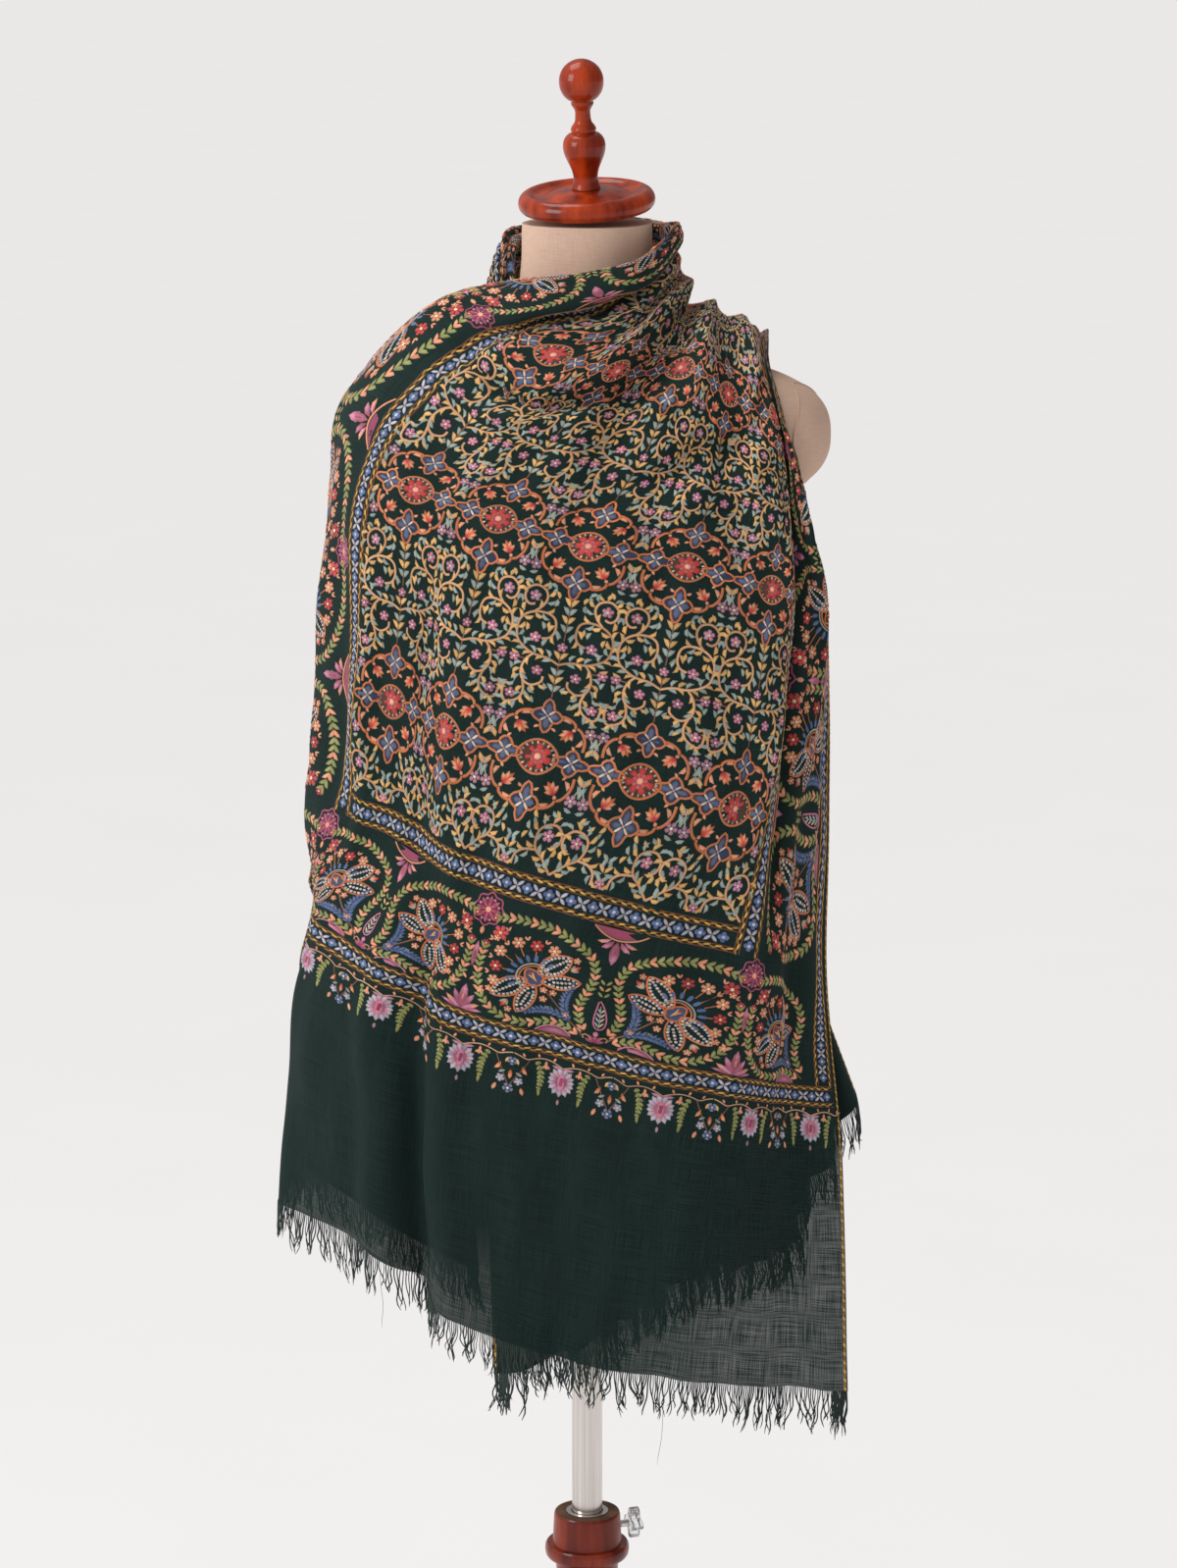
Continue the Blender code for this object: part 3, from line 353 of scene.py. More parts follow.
def smooth_through(stations, values, wanted):
    """Return the smooth curve through values at stations, read at the wanted places."""
    stations = np.asarray(stations, float)
    values = np.asarray(values, float)
    wanted = np.asarray(wanted, float)
    step = np.diff(stations)
    slope = np.diff(values, axis=0) / step[:, None]
    tangent = np.empty_like(values)
    tangent[0] = slope[0]
    tangent[-1] = slope[-1]
    before, after = step[:-1, None], step[1:, None]
    tangent[1:-1] = (slope[:-1] * after + slope[1:] * before) / (before + after)
    span = np.clip(np.searchsorted(stations, wanted, side="right") - 1, 0, len(step) - 1)
    length = step[span][:, None]
    t = (wanted - stations[span])[:, None] / length
    beyond = (wanted - np.clip(wanted, stations[0], stations[-1]))[:, None]
    t = np.clip(t, 0.0, 1.0)
    start = (1 + 2 * t) * (1 - t) ** 2 * values[span] + t * (1 - t) ** 2 * tangent[span] * length
    end = t * t * (3 - 2 * t) * values[span + 1] + t * t * (t - 1) * tangent[span + 1] * length
    edge = np.where(beyond < 0, tangent[0], tangent[-1])
    return start + end + beyond * edge


def sections_laid_out(from_left):
    """Return each section's distance along the cloth and its points, at each from_left."""
    along, points = [], []
    for _, left, right, rows in SECTIONS:
        table = np.array(rows) / 1000.0
        along.append((left + (right - left) * from_left / CLOTH_WIDTH) / 1000.0)
        points.append(smooth_through(table[:, 0], table[:, 1:], from_left))
    return np.array(along), np.array(points)


def draped(from_left, along):
    """Return the base drape for a grid of from_left and along, in across, depth, height."""
    stations, points = sections_laid_out(from_left[0])
    columns = [smooth_through(stations[:, i], points[:, i], along[:, i])
               for i in range(from_left.shape[1])]
    return np.stack(columns, axis=1)


def cloth_normals(surface, from_left, along):
    """Return unit normals of a surface function, pointing to the cloth's right side."""
    step = 0.002
    across = surface(from_left + step, along) - surface(from_left - step, along)
    onward = surface(from_left, along + step) - surface(from_left, along - step)
    normal = np.cross(across, onward)
    return normal / np.linalg.norm(normal, axis=2, keepdims=True)


def fold_lift(from_left, along):
    """Return how far the folds stand out from the drape."""
    lift = np.zeros_like(from_left)
    for _, half_width, rows in FOLDS:
        table = np.array(rows) / 1000.0
        centre = np.interp(along, table[:, 0], table[:, 1])
        height = np.interp(along, table[:, 0], table[:, 2], left=0.0, right=0.0)
        lift += height * np.exp(-((from_left - centre) * 1000.0 / half_width) ** 2)
    return lift


def to_form_axes(points):
    """Turn points in across, depth, height into the form's X, Y, Z."""
    across, depth, height = points[..., 0], points[..., 1], points[..., 2]
    x = across * cos(DRAPE_TURN) - depth * sin(DRAPE_TURN)
    y = across * sin(DRAPE_TURN) + depth * cos(DRAPE_TURN)
    return np.stack([x, y, height], axis=-1)


def cloth_surface(from_left, along):
    """Return the middle surface of the folded cloth, in the form's axes."""
    lift = fold_lift(from_left, along)[..., None]
    return to_form_axes(draped(from_left, along)
                        + cloth_normals(draped, from_left, along) * lift)


def heading(turn):
    """Return the unit vector at a turn in degrees."""
    return np.array([cos(radians(turn)), sin(radians(turn))])


def turn_of(along):
    """Return the turn of a vector in degrees."""
    return degrees(atan2(along[1], along[0]))


def around(count):
    """Return evenly spaced angles round a whole turn, in radians."""
    return np.linspace(0.0, 2 * pi, count, endpoint=False)


def curve_through(path, step, closed=False):
    """Return points at an even step along a smooth curve through a path."""
    path = np.asarray(path, float)
    count = len(path)
    before = np.roll(path, 1, axis=0) if closed else np.vstack([path[:1], path[:-1]])
    after = np.roll(path, -1, axis=0) if closed else np.vstack([path[1:], path[-1:]])
    tangent = (after - before) / 2
    t = np.linspace(0.0, 1.0, 9)[:-1, None]
    points = []
    for i in range(count if closed else count - 1):
        j = (i + 1) % count
        points.append((2 * t ** 3 - 3 * t ** 2 + 1) * path[i] + (3 * t ** 2 - 2 * t ** 3) * path[j]
                      + (t ** 3 - 2 * t ** 2 + t) * tangent[i] + (t ** 3 - t ** 2) * tangent[j])
    points = np.vstack(points + [path[:1] if closed else path[-1:]])
    gone = np.concatenate([[0.0], np.cumsum(np.linalg.norm(np.diff(points, axis=0), axis=1))])
    places = np.linspace(0.0, gone[-1], max(2, int(round(gone[-1] / step)) + 1))
    return np.stack([np.interp(places, gone, points[:, i]) for i in range(2)], axis=1)


def ribbon_faces(first, rows):
    """Return the faces between rows of three points, counted from a first point."""
    faces = []
    for a in range(first, first + 3 * (rows - 1), 3):
        faces += [(a + 2, a + 5, a + 4), (a + 2, a + 4, a + 1),
                  (a + 1, a + 4, a + 3), (a + 1, a + 3, a)]
    return faces


class Needlework:
    """Stitches drawn flat in millimetres, each point with a lift off the cloth and a thread."""

    def __init__(self):
        self.blocks = []

    def stitch(self, points, faces, threads):
        """Add one shape that is worked in one go, and so keeps one tone."""
        self.blocks.append((np.asarray(points, float), np.asarray(faces, int),
                            np.array([THREAD_ORDER.index(name) for name in threads]),
                            np.zeros(len(points), int), 1))

    def joined(self):
        """Return the stitches as one block of points, faces, threads, shapes and a count."""
        if len(self.blocks) != 1:
            points, faces, threads, shapes, counts = zip(*self.blocks)
            starts = np.cumsum([0] + [len(block) for block in points])
            firsts = np.cumsum([0] + list(counts))
            self.blocks = [(
                np.concatenate(points),
                np.concatenate([block + start for block, start in zip(faces, starts)]),
                np.concatenate(threads),
                np.concatenate([block + first for block, first in zip(shapes, firsts)]),
                int(firsts[-1]))]
        return self.blocks[0]

    def place(self, other, x=0.0, y=0.0, right=(1.0, 0.0), up=(0.0, 1.0)):
        """Add a motif with its origin at x, y and its axes along right and up."""
        points, faces, threads, shapes, count = other.joined()
        turned = np.array([right, up], float)
        moved = points.copy()
        moved[:, :2] = points[:, :2] @ turned + (x, y)
        if np.linalg.det(turned) < 0:
            faces = faces[:, ::-1]
        self.blocks.append((moved, faces, threads, shapes, count))

    def place_mirrored(self, other, x=0.0, y=0.0, both=False):
        """Add a motif and its mirror image across its upright axis, or across both axes."""
        for side in SIDES:
            self.place(other, x, y, (side, 0), (0, 1))
            if both:
                self.place(other, x, y, (side, 0), (0, -1))

    def lens(self, x, y, turn, length, width, thread, bend=0.0, lift=0.35, tip=None,
             stations=2, teeth=False):
        """Add a pointed leaf from its foot at x, y."""
        ahead, left = heading(turn), heading(turn + 90)
        points, names = [(x, y, 0.05)], [thread]
        for row in range(stations):
            t = (row + 0.8) / (stations + 0.6)
            half = 0.5 * width * sin(pi * t) ** 0.8
            if teeth:
                half *= 1.12 if row % 2 == 0 else 0.78
            middle = np.array([x, y]) + ahead * length * t + left * bend * length * 4 * t * (1 - t)
            for side, rise in ((1, EDGE_LIFT), (0, lift), (-1, EDGE_LIFT)):
                points.append((*(middle + left * half * side), rise))
                names.append(tip if tip and t > 0.55 else thread)
        points.append((*(np.array([x, y]) + ahead * length), 0.05))
        names.append(tip or thread)
        last = 3 * stations - 2
        faces = [(0, 3, 2), (0, 2, 1), *ribbon_faces(1, stations),
                 (last + 2, last + 3, last + 1), (last + 1, last + 3, last)]
        self.stitch(points, faces, names)

    def slant(self, x, y, turn, length, width, thread, lift):
        """Add a leaf by its middle."""
        self.lens(*((x, y) - heading(turn) * length / 2), turn, length, width, thread, lift=lift)

    def leaves(self, *rows):
        """Add leaves from rows of x, y, turn, length, width, thread, bend, lift, tip, stations."""
        for row in rows:
            self.lens(*row)

    def bloom(self, x, y, radius, petals, thread, core="cream", tip=None, turn=0.0, lift=0.5,
              inner=0.24):
        """Add a round flower of petals about a core."""
        points, names, faces = [], [], []
        half = 180 / petals
        outline = ((inner * 0.5, 0.0), (0.60, -half * 0.94), (0.92, -half * 0.62), (1.0, 0.0),
                   (0.92, half * 0.62), (0.60, half * 0.94))
        for k in range(petals):
            start = len(points)
            aim = turn + 360 * k / petals
            points.append((*((x, y) + heading(aim) * radius * 0.62), lift))
            names.append(thread)
            for n, (reach, off) in enumerate(outline):
                points.append((*((x, y) + heading(aim + off) * radius * reach),
                               EDGE_LIFT if n else lift * 0.5))
                names.append(tip if tip and 2 <= n <= 4 else thread)
                faces.append((start, start + 1 + n, start + 1 + (n + 1) % 6))
        self.stitch(points, faces, names)
        self.disc(x, y, radius * inner, core, lift=lift + 0.2)

    def flower(self, x, y, radius, petal, tip, petals=5):
        """Add a small round flower with a pale heart."""
        self.bloom(x, y, radius, petals, petal, tip=tip, turn=18.0, lift=0.75)

    def disc(self, x, y, radius, thread, sides=6, lift=0.45):
        """Add a small round knot of stitches."""
        points, faces = [(x, y, lift)], []
        for k in range(sides):
            points.append((*((x, y) + heading(360 * k / sides) * radius),
                           max(EDGE_LIFT, lift - 0.35)))
            faces.append((0, 1 + k, 1 + (k + 1) % sides))
        self.stitch(points, faces, [thread] * (sides + 1))

    def patch(self, outline, thread, heart=None, lift=0.4, centre=None):
        """Add an area filled from its middle outwards."""
        outline = np.asarray(outline, float)
        turning = np.sum(outline[:, 0] * np.roll(outline[:, 1], -1)
                         - outline[:, 1] * np.roll(outline[:, 0], -1))
        if turning < 0:
            outline = outline[::-1]
        middle = outline.mean(axis=0) if centre is None else centre
        count = len(outline)
        points = [(*middle, lift)] + [(*spot, 0.08) for spot in outline]
        faces = [(0, 1 + k, 1 + (k + 1) % count) for k in range(count)]
        self.stitch(points, faces, [heart or thread] + [thread] * count)

    def cord(self, path, width, thread, other=None, lift=0.35, step=3.0, closed=False,
             smooth=True):
        """Add a couched line of thread, which may change to another thread across its width."""
        spots = curve_through(path, step, closed) if smooth else np.asarray(path, float)
        along = np.gradient(spots, axis=0)
        if closed:
            along[0] = along[-1] = spots[1] - spots[-2]
        along /= np.linalg.norm(along, axis=1, keepdims=True)
        left = np.stack([-along[:, 1], along[:, 0]], axis=1) * width / 2
        count = len(spots)
        points = np.zeros((count, 3, 3))
        for row, (side, rise) in enumerate(((1, EDGE_LIFT), (0, lift), (-1, EDGE_LIFT))):
            points[:, row, :2] = spots + left * side
            points[:, row, 2] = rise
        self.stitch(points.reshape(-1, 3), ribbon_faces(0, count),
                    [thread, thread, other or thread] * count)

    def grow(self, paths, avoid):
        """Grow leaves of several kinds by turns from both sides of some stems."""
        taken = [np.array(spot, float) for spot in avoid]
        stems = np.vstack([curve_through(path, 1.5) for path in paths])
        turn = -1
        for path in paths:
            spots = curve_through(path, 1.0)
            for place in np.arange(3.0, len(spots) - 2, GROWN_SPACING / 2):
                turn += 1
                at = spots[int(place)]
                side = 1 if turn % 2 == 0 else -1
                thread, width, bend = GROWN_KINDS[turn % len(GROWN_KINDS)]
                towards = side * GROWN_SPREAD + turn_of(
                    spots[min(int(place) + 1, len(spots) - 1)] - spots[int(place) - 1])
                middle = at + heading(towards) * GROWN_LENGTH * 0.62
                tip = at + heading(towards) * GROWN_LENGTH
                if (any(np.hypot(*(middle - spot)) < GROWN_CLEAR for spot in taken)
                        or np.min(np.hypot(*(stems - tip).T)) < STEM_CLEAR):
                    continue
                self.lens(*(at + heading(towards) * 0.6), towards, GROWN_LENGTH, width, thread,
                          bend * side, 0.5)
                taken.append(middle)


# Pattern layout, in millimetres from the left selvedge and from the front hem.
PATTERN_WIDTH = 712.0
PATTERN_LENGTH = 2032.0
FIRST_COLUMN, COLUMN_PITCH, COLUMNS = 203.2, 76.4, 5
FIRST_ROW, ROW_PITCH, ROWS = 477.0, 180.0, 7
VINE_OFFSET = 78.0
NARROW_BAND = 22.0
OUTER_BAND_SIDE, OUTER_BAND_END = 8.0, 238.0
WIDE_BAND_SIDE, WIDE_BAND_END = 30.0, 260.0
INNER_BAND_SIDE, INNER_BAND_END = 143.0, 374.0
CELL = 106.75
SIDE_CELL, SIDE_CELLS = 107.0, 13
PENDANT_MIDDLE, PENDANT_PITCH = 365.0, 78.0

# Leaves grown along the vines: kinds of (thread, width, bend), and sizes in millimetres.
GROWN_KINDS = (("ochre", 3.7, 0.20), ("sage", 3.7, -0.14), ("sage", 3.3, 0.26),
               ("ochre", 3.2, -0.26))
GROWN_LENGTH, GROWN_SPACING, GROWN_SPREAD = 8.0, 5.4, 40.0
GROWN_CLEAR, STEM_CLEAR = 4.6, 2.3


def feather(x, y, turn, length, width, thread, bend=0.0, spine="navy"):
    """Return a leaf of separate barbs on both sides of a spine."""
    work = Needlework()
    ahead, left = heading(turn), heading(turn + 90)
    count = int(length / 3.4)
    path = []
    for k in range(count + 1):
        t = k / count
        path.append(np.array([x, y]) + ahead * length * t + left * bend * length * 4 * t * (1 - t))
        lean = degrees(atan2(bend * 4 * (1 - 2 * t), 1.0))
        reach = width * (0.42 + 0.40 * sin(pi * min(1.0, 0.15 + t)))
        for side in SIDES if k < count else ():
            work.lens(*path[-1], turn + lean + 36 * side, reach, 3.0, thread, -0.1 * side, 0.55)
    work.lens(*path[-2], turn - 40 * bend, length / count * 2.2, 2.8, thread)
    work.cord(path, 0.9, spine, thread, lift=0.75)
    return work


def quatrefoil(wide, tall):
    """Return a dark blue four-lobed shape, outlined, with a pale slanting cross."""
    work = Needlework()
    lobed = [(0.77 + 0.23 * cos(4 * a)) / 2 * np.array((wide * cos(a), tall * sin(a)))
             for a in around(16)]
    least = min(wide, tall)
    work.patch(lobed, "navy", lift=0.3)
    for turn in (0, 90, 180, 270):
        work.lens(0, 0, turn, (wide if turn % 180 == 0 else tall) * 0.40, least * 0.30, "slate",
                  lift=0.5)
    work.cord(lobed, 2.0, "rust", "tan", closed=True, lift=0.6)
    for turn in (45, 135, 225, 315):
        work.lens(0, 0, turn, least * 0.36, 2.5, "cream", lift=0.9)
    work.disc(0, 0, 1.1, "mauve", lift=1.0)
    return work


def medallion():
    """Return one flower medallion of the field with its frame, tulips and side sprays."""
    work, quarter = Needlework(), Needlework()
    for side in SIDES:
        work.place(quatrefoil(28, 21), 25.0 * side, 0)
        work.place(quatrefoil(23, 29), 0, 33.5 * side)
    vesica = [(15.8 * cos(a), 13.2 * sin(a) * abs(sin(a)) ** 0.45) for a in around(24)]
    work.patch(vesica, "brown", lift=0.2)
    work.cord(vesica, 2.0, "rust", "tan", closed=True, lift=0.75)
    for k, a in enumerate(around(18)):
        work.lens(10.8 * cos(a), 9.2 * sin(a), degrees(a), 3.2, 2.0, ("sage", "cream")[k % 2],
                  lift=0.8)
    work.bloom(0, 0, 11.0, 7, "red", core="peach", tip="red", turn=90, lift=0.95)
    work.bloom(0, 0, 6.4, 7, "rose", tip="peach", turn=64, lift=1.05, inner=0.2)
    for path in (((10.4, 35.5), (14, 35.6), (18.4, 34.2), (21.8, 31.2), (22.4, 28.6)),
                 ((23.4, 28.8), (26.4, 27.2), (29.6, 22.8), (31.2, 17), (30.9, 10.6))):
        quarter.cord(path, 2.3, "rust", "tan")
    inward = turn_of((-0.62, -0.79))
    for side in SIDES:
        quarter.leaves(
            (20.4, 25.0, inward + 46 * side, 7.6, 4.2, "red", -0.14 * side, 0.6, "peach"),
            (20.0, 25.2, inward + 21 * side, 10.4, 4.6, "red", -0.1 * side, 0.7, "peach"))
    quarter.leaves(
        (20.2, 25.4, inward, 12.0, 4.4, "red", 0.0, 0.8, "rust"),
        (20.2, 25.2, inward + 180, 3.6, 3.2, "peach"), (28.4, 20.6, -118, 8.0, 3.6, "peach", 0.2),
        (18.6, 31.2, 168, 7.6, 3.6, "peach", -0.2), (22.4, 13.6, -60, 4.6, 2.6, "peach", 0.1),
        (8.4, 21.8, 150, 4.6, 2.6, "peach", -0.1),
        (33.4, 7.0, 52, 10.4, 4.4, "ochre", 0.1, 0.35, "tan"),
        (34.6, 14.6, 66, 10.6, 4.0, "sage", -0.1))
    quarter.cord(((37.6, 10), (36.6, 17), (34.6, 22.4)), 1.1, "sage", "tan")
    quarter.bloom(33.4, 26.4, 4.7, 5, "mauve", tip="pink")
    quarter.leaves(
        (30.4, 31.6, 20, 7.0, 3.2, "sage", 0.1), (27.0, 34.6, 60, 6.6, 3.2, "ochre", -0.1),
        (19.0, 38.4, 40, 6.4, 3.0, "ochre", 0.15), (12.4, 41.4, 70, 6.4, 3.0, "sage", -0.1))
    work.place_mirrored(quarter, both=True)
    return work


# Stems of the vines, from the middle of their meeting point outwards.
VINE_PATHS = (
    ((0, 0), (8.9, 3.7), (19.7, 4.8), (28.4, 9), (34.3, 14.9), (36.0, 25.3), (33.3, 33),
     (25.8, 38.3), (15.7, 39.2), (9.3, 35.6), (7.8, 27.2), (10.7, 20.7), (16.4, 18.6)),
    ((25.8, 38.3), (20.6, 44.2), (18.3, 50.9), (21, 57.1), (28.4, 59.3), (34.8, 54.5),
     (34.8, 47.1), (30.7, 43.3), (26.6, 44.6)),
    ((19.7, 4.8), (24.3, -1.3), (26.1, -10.6), (23.3, -18.8), (16.7, -21.8), (10, -17.5),
     (9.4, -12.4)),
    ((23.3, -18.8), (21.3, -27.9), (23.9, -35.7), (31.2, -39.9), (35.4, -38), (36.6, -29.9),
     (35.6, -24.8), (31.2, -25.2)))
FOOT_PATHS = (
    ((0, 0), (-9.6, 9.5), (-16.3, 14.3), (-18.9, 20.4), (-18.7, 27.9), (-13.4, 32.5),
     (-5.9, 32.8), (-0.8, 27), (-1.9, 20.2), (-6.4, 18.4)),
    ((-16.3, 14.3), (-25.4, 13), (-30.7, 8.3), (-31.6, 0.7)))


def scroll(paths, blooms, avoid, leaves, stalk=None):
    """Return one side of a vine: its stems, blooms, grown leaves and loose leaves."""
    half = Needlework()
    for path in paths:
        half.cord(path, 2.0, "tan", "ochre", lift=0.4, step=2.2)
    if stalk:
        half.cord(stalk, 1.2, "brown", "tan", lift=0.3)
    for x, y, radius, tip in blooms:
        half.flower(x, y, radius, "pink", tip)
    half.grow(paths, [bloom[:2] for bloom in blooms] + list(avoid))
    for x, y, turn, thread in leaves:
        half.lens(x, y, turn, 7.0, 3.4, thread, bend=0.16, lift=0.5)
    return half


def vine():
    """Return the scrolling vines between two medallions, about their meeting point."""
    work = Needlework()
    work.place_mirrored(scroll(
        VINE_PATHS,
        ((21.2, 18.6, 4.5, "pink"), (27.6, 51, 4.6, "mauve"), (14.4, -8.3, 4.4, "pink"),
         (30.4, -32, 4.5, "mauve"), (33.2, -1.0, 4.3, "pink")),
        ((3, -18), (3, -10), (3, 8), (3, 30), (3, 38), (3, 45)),
        ((13.4, 33.4, 250, "ochre"), (16.4, 25.6, 70, "sage"), (28.6, 22.0, 80, "ochre"),
         (29.6, 15.0, 160, "sage"), (26.4, 53.8, 250, "sage"), (36.8, 61.6, 230, "ochre"),
         (12.0, 45.6, 100, "sage"), (9.4, 52.4, 60, "ochre"), (12.6, 59.6, 30, "sage"),
         (4.6, 19.6, 70, "sage"), (14.4, -27.6, 60, "ochre"), (7.0, -24.4, 80, "sage"),
         (14.6, -36.0, 40, "ochre"), (36.6, 4.6, 200, "ochre"), (33.6, -12.4, 70, "sage"),
         (32.0, -20.6, 100, "ochre"), (36.6, -45.0, 150, "sage")),
        stalk=((24.2, -1.0), (28.5, -0.6), (31.4, -1.0))))
    for y, thread, reach in ((-24, "sage", 8.5), (-17, "ochre", 9.5), (-10, "sage", 8.5),
                             (4, "ochre", 9.0), (48, "ochre", 9.0), (41, "sage", 8.5),
                             (34, "ochre", 8.5), (27, "sage", 8.0)):
        for side in SIDES:
            work.lens(0.4 * side, y, 90 - 36 * side, reach, 4.0, thread, 0.14 * side, 0.5)
    work.flower(0, 15, 4.0, "pink", "mauve")
    for path in (((0, -29), (0, -12), (0, 10)), ((0, 20), (0, 38), (0, 55))):
        work.cord(path, 1.2, "brown", "tan", smooth=False)
    return work


def foot_vine_half():
    """Return one scroll between the inner guard and the first medallions."""
    return scroll(
        FOOT_PATHS, ((-10.9, 25.2, 4.6, "mauve"),), (),
        ((-3.4, 3.0, 120, "sage"), (-30, 20, 60, "ochre"), (-26, 27, 110, "sage"),
         (-34, 14, 100, "sage"), (-23, 36, 120, "ochre"), (-8, 39, 150, "sage")))


def foot_buds():
    """Return the buds between the inner guard and a medallion's lower tip."""
    work = Needlework()
    for y, thread in ((-60, "sage"), (-67, "ochre"), (-74, "sage")):
        for side in SIDES:
            work.lens(0.4 * side, y, 90 - 42 * side, 8.0, 3.4, thread, 0.1 * side, 0.5)
    work.flower(0, -75, 4.0, "pink", "peach")
    return work


def narrow_band(length):
    """Return a guard band: two gold ropes with blue flowers between them."""
    work = Needlework()
    for y in (0.7, 4.6, 17.4, 21.3):
        path = [(x, y) for x in np.arange(0, length + 7.9, 8.0)]
        path[-1] = (length, y)
        work.cord(path, 0.9, "brown", "rust", smooth=False, lift=0.25)
    for row, middle in enumerate((2.6, 19.4)):
        for k, x in enumerate(np.arange(2.0, length - 1.0, 4.2)):
            side = 1 if k % 2 == 0 else -1
            work.slant(x, middle + 0.6 * side, 12 * side, 6.5, 1.9,
                       ("gold", "old_gold")[(k + row) % 2], 0.55)
    count = max(1, int(round((length - 10) / 17.0)))
    pitch = length / count
    for k in range(count):
        x = pitch * (k + 0.5)
        for turn in (0, 90, 180, 270):
            work.disc(*((x, 11) + heading(turn) * 2.4), 2.1, "blue", lift=0.6)
        work.disc(x, 11, 1.5, "lilac", sides=5, lift=0.85)
        for turn in (45, 135, 225, 315) if k < count - 1 else ():
            work.lens(x + pitch / 2, 11, turn, 7.0, 3.0, "lilac", lift=0.5)
    return work


# The big lotus of the wide band: its middle, and unit vectors along and across its axis.
LOTUS = (-56.4, 50.6)
CROWN = np.array([-0.7071, 0.7071])
SIDEWAYS = np.array([0.7071, 0.7071])
CROWN_TURN = 135
GARLANDS = (
    ((-9.4, 12.8), (-15.5, 24), (-17.2, 36), (-14.3, 48), (-11, 58.7), (-9.8, 67.6),
     (-12.3, 78), (-17, 85), (-24, 89.5), (-34, 94), (-46, 98), (-60, 100), (-75, 99.5),
     (-88, 98), (-98, 94)),
    ((-13.8, 6.2), (-19, 9.1), (-26, 12), (-33, 12.4), (-41, 11), (-49, 7.5), (-57, 5),
     (-66, 4.8), (-72, 5.5), (-80, 9.2), (-87.5, 14.6), (-94.8, 22.4), (-98, 32.5),
     (-100.5, 42), (-101.3, 52.4), (-101, 62), (-100, 70)))


def by_crown(sideways, crown):
    """Return the place at a distance sideways and towards the crown from the lotus."""
    return SIDEWAYS * sideways + CROWN * crown


def lattice_petal(foot, end, width):
    """Return a long petal with an outline and rows of pale rings."""
    work = Needlework()
    length = np.linalg.norm(end - foot)
    along = (end - foot) / length
    left = np.array([-along[1], along[0]])
    outline = []
    for side, places in ((1, np.linspace(0, 1, 9)), (-1, np.linspace(1, 0, 9)[1:-1])):
        for t in places:
            outline.append(foot + along * length * t
                           + left * side * width / 2 * sin(pi * t) ** 0.7)
    work.cord(outline, 1.6, "rust", "peach", closed=True, lift=0.45)
    rows = max(3, int(length / 3.3))
    for row in range(rows):
        t = (row + 1.0) / (rows + 1.0)
        half = max(0.0, width / 2 * sin(pi * t) ** 0.7 - 2.3)
        lines = 3 if half > 2.6 else 2 if half > 1.0 else 1
        for n in range(lines):
            off = 0.0 if lines == 1 else half * (2.0 * n / (lines - 1) - 1.0)
            work.disc(*(foot + along * (length * t + 0.6 * (n % 2)) + left * off), 1.45,
                      ("lilac", "cream")[(row + n) % 2], sides=5, lift=0.5)
    return work


